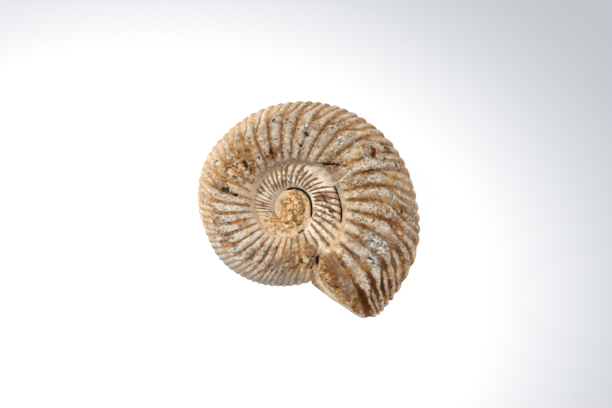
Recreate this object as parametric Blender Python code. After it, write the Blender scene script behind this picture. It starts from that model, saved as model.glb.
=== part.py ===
"""A ribbed ammonite fossil: one closed stone, lying on its lower flank.

The shell is a tube that widens as it coils in a flat logarithmic spiral. Each turn hides part of the turn
before it, so what shows is the whole of the last turn and, inside it on both flanks, a ribbed strip of each
older turn, down to a knob of rock at the middle. All of it is one skin, lofted turn by turn.

Angles are in degrees about the coil's axis, anticlockwise from +X. They grow backwards through the shell's
life, from the aperture towards the middle, and pass 360 once for each older turn.
"""

import math

import bmesh
import bpy
import numpy as np
from mathutils import Matrix

MM = 0.001
TURN = 360.0

# The coil
APERTURE_RADIUS = 38.3 * MM  # axis to the outer edge, where the last turn ends
APERTURE_ANGLE = -52.0
GROWTH = 1.936  # the radius grows by this much in a turn
SEAM_SHARE = 0.405  # where a turn meets the one inside it, as a share of its own radius
SEAM_LOSS = 0.035  # what that share loses with each older turn
SEAM_DIP = 0.040  # what it loses besides where the coil is squeezed, at this angle and to either side of it
SEAM_DIP_AT, SEAM_DIP_WIDTH = 350.0, 38.0
SWELLS = (  # where the outline is fuller or flatter than a true spiral: angle, width, share of the radius
    (8.0, 15.0, -0.016), (152.0, 15.0, 0.020), (195.0, 12.0, -0.020), (262.0, 22.0, -0.012),
)
INNERMOST_ANGLE = 1065.0  # older than this, the coil is lost in rock

# The tube's cross-section, as shares of the coil radius or of the tube's height
HALF_BREADTH = 0.245
WIDEST_AT = 0.33  # how far out from the seam the tube is thickest
WALL_SHARE = 0.494  # height of the seam above the middle plane, as a share of the half breadth
WALL_POWER = 3.0  # superellipse powers: the wall by the seam, and the flank down to the outer edge
FLANK_POWER = 2.4

# The ribs: at each of these angles a groove with this number runs across the flank
GROOVE_STATIONS = (
    (-112.0, -6.0), (-49.5, 0.0), (12.5, 6.0), (57.0, 10.0), (87.0, 13.0), (158.5, 20.0), (226.5, 27.0),
    (282.0, 33.0), (346.0, 39.0), (408.0, 46.0), (445.5, 50.0), (498.0, 56.0), (557.5, 64.0), (662.0, 79.0),
    (1070.0, 130.0),
)
MID_FLANK = 0.60  # the share of the radius at which those angles are measured
FORWARD_SLOPE = 10.0  # degrees of forward lean for each coil radius, away from mid flank
FORWARD_CURL = 5.0  # further degrees of lean at the outer edge
OLDER_SLOPE = 26.0  # the lean of the older turns' ribs
OLDER_FROM, OLDER_TO = 300.0, 340.0  # where the last turn's kind of rib gives way to theirs
GROOVE_WIDTH = 0.13  # share of a rib
GROOVE_DEPTH = 0.0125  # shares of the coil radius
OLDER_GROOVE_DEPTH = 0.026
EDGE_GROOVE_DEPTH = 0.0150
DEEPER_FROM, DEEPER_TO = 10.0, -45.0  # the grooves deepen towards the aperture
DEEPER_BY = 0.9
WALL_REACH = 0.075  # the grooves fade in over this share of the radius beyond the seam
RIBS_FADE_FROM, RIBS_FADE_TO = 590.0, 640.0  # under the rock of the middle
FORK_FROM, FORK_TO = 0.76, 0.88  # a second groove opens in each rib between these shares of the radius

# The middle, which a knob of rock fills
KNOB_AT = (0.9 * MM, -1.5 * MM)
KNOB_SPAN = (3.5 * MM, 5.9 * MM)  # half sizes across and along
KNOB_TOP = 3.5 * MM
KNOB_DROP = 1.6 * MM  # from its top to its rim
KNOB_POWER = 3.0
KNOB_LUMP = 0.14 * MM
KNOB_LUMP_SIZE = 0.6 * MM
CAP_RISE = 0.25 * MM

# Wear on the upper flank: angle, share of the last turn's radius, half sizes along and across it, rise
BLEMISHES = (
    (36.0, 0.51, 5.6 * MM, 2.4 * MM, -0.55 * MM),  # a patch where the shell has flaked off
    (44.0, 0.395, 3.8 * MM, 1.3 * MM, 0.60 * MM),  # rock left in the seam beside it
    (32.0, 0.84, 1.5 * MM, 1.3 * MM, -0.75 * MM),  # pits
    (135.0, 0.60, 1.3 * MM, 2.0 * MM, -0.55 * MM),
    (165.0, 0.62, 1.2 * MM, 2.6 * MM, -0.55 * MM),
    (99.0, 0.85, 1.2 * MM, 1.2 * MM, -0.60 * MM),
)

# The broken aperture: how far past the last full angle the edge reaches, along the flank
BREAK_EDGE = (
    (0.38, -59.0), (0.45, -61.5), (0.49, -65.0), (0.55, -68.0), (0.62, -65.5), (0.70, -62.0), (0.80, -60.5),
    (0.88, -60.0), (0.94, -59.2), (1.00, -58.2),
)
START_AT_SEAM = -57.5 + TURN  # the aperture's rock meets the older turn from here, on the flank,
START_AT_EDGE = -74.0 + TURN  # to here, on the outer edge
LOWER_SET_BACK = 5.5  # degrees by which the broken edge lies further back on the lower flank
TIP_FROM, TIP_TO = -49.0, -58.0  # the outer corner of the aperture is worn round from this angle on
TIP_WEAR = 0.085
EDGE_WEAR = 0.024  # share of the radius that the outer edge has lost to wear by the aperture,
EDGE_WEAR_FROM, EDGE_WEAR_TO = -15.0, -45.0  # and between which angles it sets in
FACE_BULGE = 0.6 * MM  # rock in the aperture stands this far out of it
FACE_LUMP = 0.35 * MM
FACE_LUMPS = (9.0, 14.0)  # radians of lumpiness along and across the face
FACE_RINGS = (0.25, 0.5, 0.78)

# How finely the skin is divided
FLANK_ROWS = (0.0, 0.10, 0.22, 0.38)  # shares of the way from the seam to the outer edge,
EDGE_ROWS = (0.68, 0.78, 0.89)  # before and after the row that the next turn would cover from
OLDER_ROWS = (0.0, 0.15, 0.38, 0.66, 0.92)  # shares of the part that the next turn leaves bare
RIB_COLUMNS = (0.0, 0.15, 0.35, 0.5, 0.65, 0.85)  # groove, crest, crest, second groove, crest, crest
EDGE_ONLY_COLUMNS = (0.35, 0.65)  # those that only the outer edge needs, where ribs fork
OLDER_RIB_COLUMNS = (0.0, 0.3, 0.7)
LEAN_IN, LEAN_OUT = 20.0, 40.0  # the older turns' columns take up their lean, and lose it, over these angles
LAST_GROOVE = 33.5
BREAK_COLUMNS = 4
START_COLUMNS = 4
CORE_COLUMNS = 22
OUTLINE_STEPS = 600

# How it lies: the coil leans so that three places of the lower flank touch the ground
LEAN_TOWARDS = 128.0
LEAN = 3.2
WORN_FLAT = 0.50 * MM
AXIS_AT = (-4.76 * MM, -0.11 * MM)

STONE = {"base": (0.56, 0.45, 0.34, 1.0), "roughness": 0.62, "metallic": 0.0}


def coil_radius(angle):
    swell = sum(rise * np.exp(-(((angle - at) / width) ** 2)) for at, width, rise in SWELLS)
    return APERTURE_RADIUS * GROWTH ** (-(angle - APERTURE_ANGLE) / TURN) * (1.0 + swell)


def seam_share(angle):
    dip = SEAM_DIP * np.exp(-(((angle - SEAM_DIP_AT) / SEAM_DIP_WIDTH) ** 2))
    return SEAM_SHARE - SEAM_LOSS * (angle - APERTURE_ANGLE) / TURN - dip


def smooth_step(low, high, x):
    t = np.clip((x - low) / (high - low), 0.0, 1.0)
    return t * t * (3.0 - 2.0 * t)


def section_outline():
    """The half section from seam (0) to outer edge (1): distance out, height, and the share of the way."""
    wall_end = math.pi - math.asin(WALL_SHARE ** (WALL_POWER / 2.0))
    turn = np.linspace(wall_end, 0.0, OUTLINE_STEPS)
    on_wall = turn > math.pi / 2.0
    power = np.where(on_wall, WALL_POWER, FLANK_POWER)
    across = np.abs(np.cos(turn)) ** (2.0 / power)
    wall_reach = WIDEST_AT / across[0]
    out = np.where(on_wall, WIDEST_AT - wall_reach * across, WIDEST_AT + (1.0 - WIDEST_AT) * across)
    up = np.abs(np.sin(turn)) ** (2.0 / power)
    out[-1], up[-1] = 1.0, 0.0
    steps = np.hypot(np.diff(out), np.diff(up) * HALF_BREADTH / (1.0 - SEAM_SHARE))
    way = np.concatenate([[0.0], np.cumsum(steps)])
    return out, up, way / way[-1]


OUT, UP, WAY = section_outline()


def covered_from(angle):
    """The share of the way from seam to outer edge at which the next turn covers this one."""
    hidden_at = seam_share(angle - TURN) * GROWTH
    out = (hidden_at - seam_share(angle)) / (1.0 - seam_share(angle))
    return np.interp(out, OUT, WAY)


def groove_number(angle):
    stations = np.array(GROOVE_STATIONS)
    return np.interp(angle, stations[:, 0], stations[:, 1])


def groove_angle(number):
    stations = np.array(GROOVE_STATIONS)
    return np.interp(number, stations[:, 1], stations[:, 0])


def forward_lean(angle, share):
    """Degrees by which a rib at this share of the radius runs ahead of where it crosses mid flank."""
    slope = FORWARD_SLOPE + (OLDER_SLOPE - FORWARD_SLOPE) * smooth_step(OLDER_FROM, OLDER_TO, angle)
    curl = FORWARD_CURL * np.clip((share - MID_FLANK) / (1.0 - MID_FLANK), 0.0, 1.0) ** 3
    return slope * (share - MID_FLANK) + curl


def groove(number):
    """A rounded groove, 1 deep where the number is whole."""
    apart = number - np.round(number)
    return np.exp(-((apart / GROOVE_WIDTH) ** 2))


def groove_depth(angle, share):
    depth = GROOVE_DEPTH + (OLDER_GROOVE_DEPTH - GROOVE_DEPTH) * smooth_step(OLDER_FROM, OLDER_TO, angle)
    depth = depth + (EDGE_GROOVE_DEPTH - GROOVE_DEPTH) * smooth_step(FORK_FROM, 1.0, share)
    return coil_radius(angle) * depth * (1.0 + DEEPER_BY * smooth_step(DEEPER_FROM, DEEPER_TO, angle))


def rib_relief(angle, share):
    """1 at the bottom of a groove and 0 on a rib, with no grooves on the wall by the seam."""
    number = groove_number(angle + forward_lean(angle, share))
    from_wall = smooth_step(0.0, WALL_REACH, share - seam_share(angle))
    first = groove(number)
    second = groove(number + 0.5) * smooth_step(FORK_FROM, FORK_TO, share)
    return from_wall * np.maximum(first, second) * smooth_step(RIBS_FADE_TO, RIBS_FADE_FROM, angle)


def blemish_rise(x, y):
    """The height that wear adds or takes, as a sum of rounded mounds and pits."""
    radius = np.hypot(x, y)
    angle = np.degrees(np.arctan2(y, x))
    rise = np.zeros_like(x)
    for at, share, along, across, height in BLEMISHES:
        middle = share * coil_radius(at)
        off_angle = np.radians((angle - at + 180.0) % TURN - 180.0)
        rise += height * np.exp(-((off_angle * middle / along) ** 2) - ((radius - middle) / across) ** 2)
    return rise


def knob_height(x, y):
    """A low oval dome with a few lumps."""
    from_top = np.hypot((x - KNOB_AT[0]) / KNOB_SPAN[0], (y - KNOB_AT[1]) / KNOB_SPAN[1])
    lumps = np.sin(x / KNOB_LUMP_SIZE + 1.0) * np.cos(y / KNOB_LUMP_SIZE)
    return KNOB_TOP - KNOB_DROP * from_top**KNOB_POWER + KNOB_LUMP * lumps


def skin_points(angle, way, side, in_seam=False):
    """Points of the tube's skin at these angles and shares of the way, on the upper (1) or lower flank (-1).

    The skin is sunk into the grooves along its own normal, and in the seam all of it is as deep as they are.
    """
    angle, way = np.broadcast_arrays(np.asarray(angle, float), np.asarray(way, float))
    seam = seam_share(angle)
    radius = coil_radius(angle)
    share = seam + (1.0 - seam) * np.interp(way, WAY, OUT)
    height = HALF_BREADTH * np.interp(way, WAY, UP)
    ahead, behind = np.clip(way + 0.01, 0.0, 1.0), np.clip(way - 0.01, 0.0, 1.0)
    run_out = (1.0 - seam) * (np.interp(ahead, WAY, OUT) - np.interp(behind, WAY, OUT))
    run_up = HALF_BREADTH * (np.interp(ahead, WAY, UP) - np.interp(behind, WAY, UP))
    length = np.hypot(run_out, run_up)
    at_edge = way >= 1.0
    normal_out = np.where(at_edge, 1.0, -run_up / length)
    normal_up = np.where(at_edge, 0.0, run_out / length)
    relief = np.ones_like(share) if in_seam else rib_relief(angle, share)
    sunk = -groove_depth(angle, share) * relief
    past_tip = np.clip((angle - TIP_FROM) / (TIP_TO - TIP_FROM), 0.0, 2.0)
    lost = TIP_WEAR * past_tip**2 + EDGE_WEAR * smooth_step(EDGE_WEAR_FROM, EDGE_WEAR_TO, angle)
    r = radius * share * (1.0 - lost * share**4) + sunk * normal_out
    turn = np.radians(angle)
    x, y = r * np.cos(turn), r * np.sin(turn)
    z = radius * height + sunk * normal_up
    z = z + blemish_rise(x, y) * (side > 0) * smooth_step(0.98, 0.90, share)
    return np.stack([x, y, side * np.maximum(z, knob_height(x, y))], axis=-1)


class Skin:
    """Points and faces of one closed mesh, gathered piece by piece, and numbered as they come."""

    def __init__(self):
        self.points = []
        self.faces = []

    def add(self, points):
        """Adds an array of points, and returns their numbers in the same layout."""
        flat = np.asarray(points).reshape(-1, 3)
        first = len(self.points)
        self.points.extend(map(tuple, flat))
        return np.arange(first, first + len(flat)).reshape(np.shape(points)[:-1])

    def loft(self, grid):
        """Squares between neighbouring rows and columns of a grid of point numbers."""
        for here, after in zip(grid[:-1], grid[1:]):
            for a, b, c, d in zip(here[:-1], after[:-1], after[1:], here[1:]):
                self.faces.append((int(a), int(b), int(c), int(d)))

    def zip(self, one, other):
        """Triangles between two lines of (place, point number), whichever line has fewer points."""
        i = j = 0
        while i < len(one) - 1 or j < len(other) - 1:
            first_ends = i == len(one) - 1
            other_next = j < len(other) - 1 and (first_ends or other[j + 1][0] < one[i + 1][0])
            if other_next:
                self.faces.append((one[i][1], other[j][1], other[j + 1][1]))
                j += 1
            else:
                self.faces.append((one[i][1], other[j][1], one[i + 1][1]))
                i += 1


def column_angles(column_number, share):
    """Where a line of constant rib number runs at these shares of the radius."""
    mid = groove_angle(column_number)
    angle = mid - forward_lean(mid, share)
    return mid - forward_lean(angle, share)


def row_ways():
    """The rows from the upper seam over the edge to the lower seam, and which one the next turn covers."""
    cover = float(covered_from(START_AT_SEAM))
    upper = [*FLANK_ROWS, cover, *EDGE_ROWS, 1.0]
    ways = np.array(upper + upper[-2::-1])
    sides = np.array([1.0] * len(upper) + [-1.0] * (len(upper) - 1))
    return ways, sides, len(FLANK_ROWS)


def rib_columns(first, last, parts):
    """Groove numbers of the columns that each rib gets."""
    return [whole + part for whole in range(first, last) for part in parts]


def last_turn_angles(ways, covered):
    """The grid of angles of the last turn: a row of angles for each column, from the aperture back."""
    seam = seam_share(0.0)
    share = seam + (1.0 - seam) * np.interp(ways, WAY, OUT)
    edge = np.array(BREAK_EDGE)
    broken = np.interp(share, edge[:, 0], edge[:, 1])
    lower = np.arange(len(ways)) > len(ways) // 2
    broken = broken + LOWER_SET_BACK * lower * smooth_step(1.0, 0.55, ways)
    numbers = [n for n in rib_columns(0, math.ceil(LAST_GROOVE), RIB_COLUMNS) if n <= LAST_GROOVE]
    ribs = [column_angles(number, share) for number in numbers]
    from_edge = np.abs(np.arange(len(ways)) - len(ways) // 2)  # in rows
    to_flank = np.clip(from_edge / (len(ways) // 2 - covered), 0.0, 1.0) ** 1.5
    start = START_AT_EDGE + (START_AT_SEAM - START_AT_EDGE) * to_flank
    before = [broken + (ribs[0] - broken) * k / BREAK_COLUMNS for k in range(BREAK_COLUMNS)]
    after = [ribs[-1] + (start - ribs[-1]) * (k + 1) / START_COLUMNS for k in range(START_COLUMNS)]
    whole_way = [n % 1.0 not in EDGE_ONLY_COLUMNS for n in numbers]
    on_flank = np.array([True] * BREAK_COLUMNS + whole_way + [True] * START_COLUMNS)
    return np.array(before + ribs + after), on_flank


def older_angles():
    """Angles of the columns of the older turns, from where the last turn begins to the middle."""
    first = math.ceil(groove_number(START_AT_SEAM))
    last = int(groove_number(RIBS_FADE_TO - 20.0))
    ribs = [groove_angle(number) for number in rib_columns(first, last, OLDER_RIB_COLUMNS)]
    core = np.linspace(RIBS_FADE_TO, INNERMOST_ANGLE, CORE_COLUMNS)
    return np.array([*ribs, *core])


def places(where, numbers):
    """Pairs of a place along a line and a point number, for a zip."""
    return [(float(a), int(n)) for a, n in zip(where, numbers)]


def loft_last_turn(skin):
    """The whole tube of the last turn. Its edge rows lie on the turn inside it."""
    ways, sides, covered = row_ways()
    angles, on_flank = last_turn_angles(ways, covered)
    points = skin_points(angles, ways[None, :], sides[None, :])
    for row in (0, len(ways) - 1):
        inside = angles[:, row] + TURN
        points[:, row] = skin_points(inside, covered_from(inside), sides[row], in_seam=True)
    numbers = skin.add(points)
    numbers[0, 0] = numbers[-1, covered]
    numbers[0, -1] = numbers[-1, -1 - covered]

    columns = np.arange(len(numbers))
    skin.loft(numbers[:, covered : len(ways) - covered])
    for seam_to_edge in (numbers, numbers[:, ::-1]):
        flank = seam_to_edge[on_flank, :covered]
        skin.loft(flank)
        skin.zip(places(columns[on_flank], flank[:, -1]), places(columns, seam_to_edge[:, covered]))
    return numbers, angles, on_flank, covered


def loft_older_turns(skin, last_turn, side):
    """The strip of the older turns that shows on one flank, from the last turn's seam to the middle."""
    numbers, angles, on_flank, covered = last_turn
    ways, _, _ = row_ways()
    seam_to_edge = numbers if side > 0 else numbers[:, ::-1]
    columns = older_angles()
    way = np.array(OLDER_ROWS)[None, :] * covered_from(columns)[:, None]
    seam = seam_share(columns)[:, None]
    share = seam + (1.0 - seam) * np.interp(way, WAY, OUT)
    taken_up = smooth_step(0.0, LEAN_IN, columns - START_AT_SEAM)
    not_lost = smooth_step(0.0, LEAN_OUT, RIBS_FADE_TO - columns)
    at = columns[:, None] - forward_lean(columns[:, None], share) * (taken_up * not_lost)[:, None]
    strip = skin.add(skin_points(at, way, side))
    skin.loft(strip)
    skin.zip(places(ways, seam_to_edge[-1, : covered + 1]), places(way[0], strip[0]))

    last_seam = places(angles[on_flank, 0] + TURN, seam_to_edge[on_flank, 0])
    older_seam = places(at[:, 0] + TURN, strip[:, 0])
    covering = [point for point in last_seam + older_seam if point[0] <= INNERMOST_ANGLE]
    skin.zip(places(at[:, -1], strip[:, -1]), covering)
    uncovered = older_seam[len(covering) - len(last_seam) - 1 :]
    return [n for _, n in uncovered] + [int(n) for n in strip[-1, 1:]]


def close_middle(skin, rim, side):
    """A low cone of rock over what is left at the middle."""
    ring = np.array([skin.points[n] for n in rim])
    peak = ring[:, 2].mean() + side * CAP_RISE
    middle = int(skin.add([(0.0, 0.0, peak)])[0])
    for a, b in zip(rim, rim[1:] + rim[:1]):
        skin.faces.append((middle, a, b))


def spread_along(points, place):
    """Points of an open line, at these shares of its length in steps."""
    own_place = np.linspace(0.0, 1.0, len(points))
    return np.stack([np.interp(place, own_place, points[:, k]) for k in range(3)], axis=-1)


def close_aperture(skin, last_turn):
    """The broken end: rock that fills the tube and swells out of it, down onto the older turn."""
    numbers, _, _, covered = last_turn
    rim = numbers[0]
    root = numbers[-1, covered : numbers.shape[1] - covered]
    place = np.linspace(0.0, 1.0, len(rim))
    rim_points = np.array([skin.points[n] for n in rim])
    root_points = spread_along(np.array([skin.points[n] for n in root]), place)
    heading = math.radians(APERTURE_ANGLE - 90.0)
    forward = np.array([math.cos(heading), math.sin(heading), 0.0])
    rows = [rim]
    for ring in FACE_RINGS:
        swell = FACE_BULGE * math.sin(math.pi * ring) * np.sin(math.pi * place)
        swell = swell + FACE_LUMP * np.sin(FACE_LUMPS[0] * place + FACE_LUMPS[1] * ring)
        points = rim_points * (1.0 - ring) + root_points * ring + swell[:, None] * forward
        rows.append(np.concatenate([[rim[0]], skin.add(points[1:-1]), [rim[-1]]]))
    skin.loft(np.array(rows))
    skin.zip(places(place, rows[-1]), places(np.linspace(0.0, 1.0, len(root)), root))


def lay_down(bm):
    """Leans the coil onto its lower flank, sets it on the ground and wears the touching ribs flat."""
    axis = math.radians(LEAN_TOWARDS + 90.0)
    lean = Matrix.Rotation(math.radians(LEAN), 4, (math.cos(axis), math.sin(axis), 0.0))
    bmesh.ops.transform(bm, matrix=lean, verts=bm.verts)
    lowest = min(v.co.z for v in bm.verts)
    for v in bm.verts:
        v.co.x += AXIS_AT[0]
        v.co.y += AXIS_AT[1]
        v.co.z = max(v.co.z - lowest - WORN_FLAT, 0.0)


def stone_material():
    material = bpy.data.materials.new("fossil_stone")
    material.use_nodes = True
    shader = material.node_tree.nodes["Principled BSDF"]
    shader.inputs["Base Color"].default_value = STONE["base"]
    shader.inputs["Roughness"].default_value = STONE["roughness"]
    shader.inputs["Metallic"].default_value = STONE["metallic"]
    return material


def build_ammonite(collection):
    skin = Skin()
    last_turn = loft_last_turn(skin)
    for side in (1.0, -1.0):
        rim = loft_older_turns(skin, last_turn, side)
        close_middle(skin, rim, side)
    close_aperture(skin, last_turn)

    bm = bmesh.new()
    corners = [bm.verts.new(p) for p in skin.points]
    for face in skin.faces:
        distinct = list(dict.fromkeys(face))
        if len(distinct) > 2:
            bm.faces.new([corners[n] for n in distinct])
    loose = [v for v in bm.verts if not v.link_faces]
    bmesh.ops.delete(bm, geom=loose, context="VERTS")
    lay_down(bm)
    bmesh.ops.triangulate(bm, faces=bm.faces)
    bmesh.ops.recalc_face_normals(bm, faces=bm.faces)
    mesh = bpy.data.meshes.new("ammonite")
    bm.to_mesh(mesh)
    bm.free()
    mesh.materials.append(stone_material())
    ammonite = bpy.data.objects.new("ammonite", mesh)
    collection.objects.link(ammonite)
    return ammonite


def main():
    for old in list(bpy.data.objects):
        bpy.data.objects.remove(old)
    collection = bpy.data.collections.new("Ammonite fossil")
    bpy.context.scene.collection.children.link(collection)
    ammonite = build_ammonite(collection)
    print("ammonite:", len(ammonite.data.polygons), "faces")


main()
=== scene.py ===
# %% [markdown]
# # A ribbed ammonite
# An ammonite is a shell that its animal built as one long tube, always coiling in the same flat plane and
# always widening by the same share in each turn. That one rule gives a logarithmic spiral. Rock then filled
# the shell, calcite replaced it, and the fossil on the table is a single stone.
# This lesson makes that stone as one closed surface, worked out point by point with numpy, and then gives it
# a finish of cream calcite, grey limestone and orange iron stain.

# %% Load the frame
import itertools
import math

import bmesh
import bpy
import numpy as np
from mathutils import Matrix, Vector


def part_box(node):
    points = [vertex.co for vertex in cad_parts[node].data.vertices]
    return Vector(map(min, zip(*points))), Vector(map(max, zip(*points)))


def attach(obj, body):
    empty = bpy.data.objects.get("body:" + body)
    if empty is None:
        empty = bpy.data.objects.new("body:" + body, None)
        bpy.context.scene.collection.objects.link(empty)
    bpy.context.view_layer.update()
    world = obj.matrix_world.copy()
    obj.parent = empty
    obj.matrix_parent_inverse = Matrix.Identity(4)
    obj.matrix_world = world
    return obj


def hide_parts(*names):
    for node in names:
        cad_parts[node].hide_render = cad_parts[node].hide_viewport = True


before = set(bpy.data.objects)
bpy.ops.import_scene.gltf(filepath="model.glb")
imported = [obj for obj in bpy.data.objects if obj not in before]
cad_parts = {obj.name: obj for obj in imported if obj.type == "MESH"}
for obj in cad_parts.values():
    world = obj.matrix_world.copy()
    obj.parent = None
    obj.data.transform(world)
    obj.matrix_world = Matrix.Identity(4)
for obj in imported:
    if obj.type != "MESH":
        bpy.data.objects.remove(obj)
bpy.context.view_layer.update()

MM = 0.001
node_low, node_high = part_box("ammonite")

# %% [markdown]
# ## The coil
# In nature the radius of the outer edge grows by the same factor in every turn. A curve object bent into a
# spiral could carry a bevelled tube, but it could not let one turn press into the next. So the coil is kept
# as two small formulas instead: the radius at an angle, and the share of that radius at which a turn meets
# the one inside it. Angles run backwards from the broken aperture to the middle, and add 360 for each turn.

# %% The spiral
TURN = 360.0
APERTURE_RADIUS = 38.3 * MM
APERTURE_ANGLE = -52.0
GROWTH = 1.936
SEAM_SHARE = 0.405
SEAM_LOSS = 0.035
SEAM_DIP, SEAM_DIP_AT, SEAM_DIP_WIDTH = 0.040, 350.0, 38.0
INNERMOST_ANGLE = 1065.0
HALF_BREADTH = 0.245
AXIS_AT = (-4.76 * MM, -0.11 * MM)
SWELLS = ((8.0, 15.0, -0.016), (152.0, 15.0, 0.020), (195.0, 12.0, -0.020), (262.0, 22.0, -0.012))


def bell(x, width):
    """1 at zero and falling off on both sides: e to the power -(x / width) squared."""
    return np.exp(-((x / width) ** 2))


def smooth_step(low, high, x):
    """0 below low, 1 above high, and the curve 3t*t - 2t*t*t between them. low may be the larger."""
    t = np.clip((x - low) / (high - low), 0.0, 1.0)
    return t * t * (3.0 - 2.0 * t)


def stretch(angle, ramps):
    """1 on a stretch of the coil: a smooth step up between two angles, times one down between two more."""
    begin, full, still, end = ramps
    return smooth_step(begin, full, angle) * smooth_step(end, still, angle)


def coil_radius(angle):
    """The outer radius: divided by GROWTH for every turn back from the aperture, times gentle swells."""
    swell = sum(rise * bell(angle - at, width) for at, width, rise in SWELLS)
    return APERTURE_RADIUS * GROWTH ** (-(angle - APERTURE_ANGLE) / TURN) * (1.0 + swell)


def seam_share(angle):
    """Where the inner seam lies, as a share of the radius: a straight line in the angle, less a bell."""
    dip = SEAM_DIP * bell(angle - SEAM_DIP_AT, SEAM_DIP_WIDTH)
    return SEAM_SHARE - SEAM_LOSS * (angle - APERTURE_ANGLE) / TURN - dip


print("outer radius at the aperture and one turn back:",
      [round(coil_radius(a) / MM, 1) for a in (APERTURE_ANGLE, APERTURE_ANGLE + TURN)], "mm")

# %% [markdown]
# ## The section of the tube
# Cut across, the tube is a rounded box: a steep wall by the seam, a broad flank, a round outer edge. Two
# superellipses joined at the thickest place draw that outline with four numbers, where a hand-drawn profile
# would need dozens of points. The outline is measured along its own length, so that a share of the way from
# seam to outer edge always covers the same amount of shell.

# %% The outline of the section
WIDEST_AT = 0.33
WALL_SHARE = 0.494
WALL_POWER = 3.0
FLANK_POWER = 2.4
OUTLINE_STEPS = 1500


def section_outline():
    """Superellipses |x|^p + |y|^p = 1 around the thickest place: distance out, height, share of the way."""
    wall_end = math.pi - math.asin(WALL_SHARE ** (WALL_POWER / 2.0))
    turn = np.linspace(wall_end, 0.0, OUTLINE_STEPS)
    on_wall = turn > math.pi / 2.0
    power = np.where(on_wall, WALL_POWER, FLANK_POWER)
    across = np.abs(np.cos(turn)) ** (2.0 / power)
    wall_reach = WIDEST_AT / across[0]
    out = np.where(on_wall, WIDEST_AT - wall_reach * across, WIDEST_AT + (1.0 - WIDEST_AT) * across)
    up = np.abs(np.sin(turn)) ** (2.0 / power)
    out[-1], up[-1] = 1.0, 0.0
    steps = np.hypot(np.diff(out), np.diff(up) * HALF_BREADTH / (1.0 - SEAM_SHARE))
    way = np.concatenate([[0.0], np.cumsum(steps)])
    return out, up, way / way[-1]


OUT, UP, WAY = section_outline()
SECTION_LENGTH = float(np.hypot(np.diff(OUT) * (1.0 - SEAM_SHARE), np.diff(UP) * HALF_BREADTH).sum())


def share_at(angle, way):
    """The share of the radius at a share of the way from the seam to the outer edge."""
    return seam_share(angle) + (1.0 - seam_share(angle)) * np.interp(way, WAY, OUT)


def covered_from(angle):
    """The share of the way at which the next turn covers this one: its seam radius, read on this section."""
    hidden_at = seam_share(angle - TURN) * GROWTH
    out = (hidden_at - seam_share(angle)) / (1.0 - seam_share(angle))
    return np.interp(out, OUT, WAY)


print("half the section is", round(SECTION_LENGTH * coil_radius(0.0) / MM, 1), "mm long at 0 degrees")

# %% [markdown]
# ## Roughness
# Stone is never smooth: it has soft swells, worn patches and grains. Blender's own textures could displace
# the mesh, but the same numbers are wanted later for the colours too, so the noise is made here. Random
# values sit on the corners of a lattice of cubes, and every point blends the eight around it.

# %% Lattice noise
LATTICE = 64


def noise(points, cell, seed):
    """-1 to 1: lattice values blended over the cube around each point with the weights 3t*t - 2t*t*t."""
    table = np.random.default_rng(seed).uniform(-1.0, 1.0, (LATTICE, LATTICE, LATTICE))
    scaled = points / cell
    low = np.floor(scaled).astype(int)
    t = scaled - low
    t = t * t * (3.0 - 2.0 * t)
    total = np.zeros(points.shape[:-1])
    for corner in itertools.product((0, 1), repeat=3):
        weight = np.prod(np.where(np.array(corner) == 1, t, 1.0 - t), axis=-1)
        at = (low + corner) % LATTICE
        total += weight * table[at[..., 0], at[..., 1], at[..., 2]]
    return total


def layered_noise(points, cell, seed, layers=3):
    """A sum of noises, each with half the cell and half the strength of the one before."""
    parts = [noise(points, cell / 2**k, seed + 17 * k) / 2**k for k in range(layers)]
    return sum(parts) / (2.0 - 0.5 ** (layers - 1))


probe = np.random.default_rng(1).uniform(-30 * MM, 30 * MM, (2000, 3))
tried = noise(probe, 2 * MM, 3)
print("noise runs from", tried.min().round(2), "to", tried.max().round(2))

# %% [markdown]
# ## Where the ribs run
# Grooves cross the flank at uneven steps, because the animal did not grow evenly. Each entry below is the
# angle at which one groove crosses the middle of the flank; the numbers between them are ribs. Towards the
# outer edge the ribs sweep forward, and each one forks: a second groove leaves the first and runs to the
# middle of the rib. Counting in ribs instead of degrees keeps columns of the mesh running along the grooves.

# %% Groove angles
FIRST_GROOVE = -7
GROOVE_ANGLES = (
    -126.0, -115.0, -104.0, -93.0, -82.0, -71.0, -60.0,
    -49.5, -39.5, -29.0, -18.5, -8.5, 2.0, 12.5, 23.0, 34.0, 45.5, 57.0, 67.5, 77.5, 87.0, 97.0, 107.5, 118.0,
    128.0, 138.0, 148.0, 158.5, 168.5, 178.5, 188.0, 197.5, 207.0, 217.0, 226.5, 236.0, 245.0, 254.5, 263.0,
    271.5, 282.0, 295.0, 305.0,
    316.0, 326.5, 337.0, 346.0, 355.5, 364.5, 373.0, 382.0, 390.0, 398.5, 408.0, 417.5, 425.5, 434.5, 445.5,
    457.0, 464.5, 474.0, 481.5, 490.0, 498.0, 506.5, 514.5, 523.5, 530.5, 537.0, 543.5, 550.5,
    557.5, 564.5, 571.5, 578.0, 585.0, 591.5, 598.5, 606.0, 613.5, 621.0, 629.0, 636.5, 644.0,
)
GROOVE_NUMBERS = np.arange(FIRST_GROOVE, FIRST_GROOVE + len(GROOVE_ANGLES), dtype=float)
MID_FLANK = 0.60
FORWARD_SLOPE, FORWARD_CURL = 10.0, 5.0
LATE_CURL, LATE_CURL_RAMP = 7.0, (-15.0, -36.0)
LATE_EASE, LATE_EASE_RAMP = 4.0, (-40.0, -48.0)
LAST_EASE, LAST_EASE_RAMP = 7.5, (-47.0, -53.0)
OLDER_SLOPE, STEEP_SLOPE, STEEP_STRETCH = 17.0, 38.0, (335.0, 370.0, 405.0, 440.0)
OLDER_FROM, OLDER_TO = 300.0, 340.0
ARC_FROM, ARC_TO, ARC_STEPS = -135.0, 660.0, 6000


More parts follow.
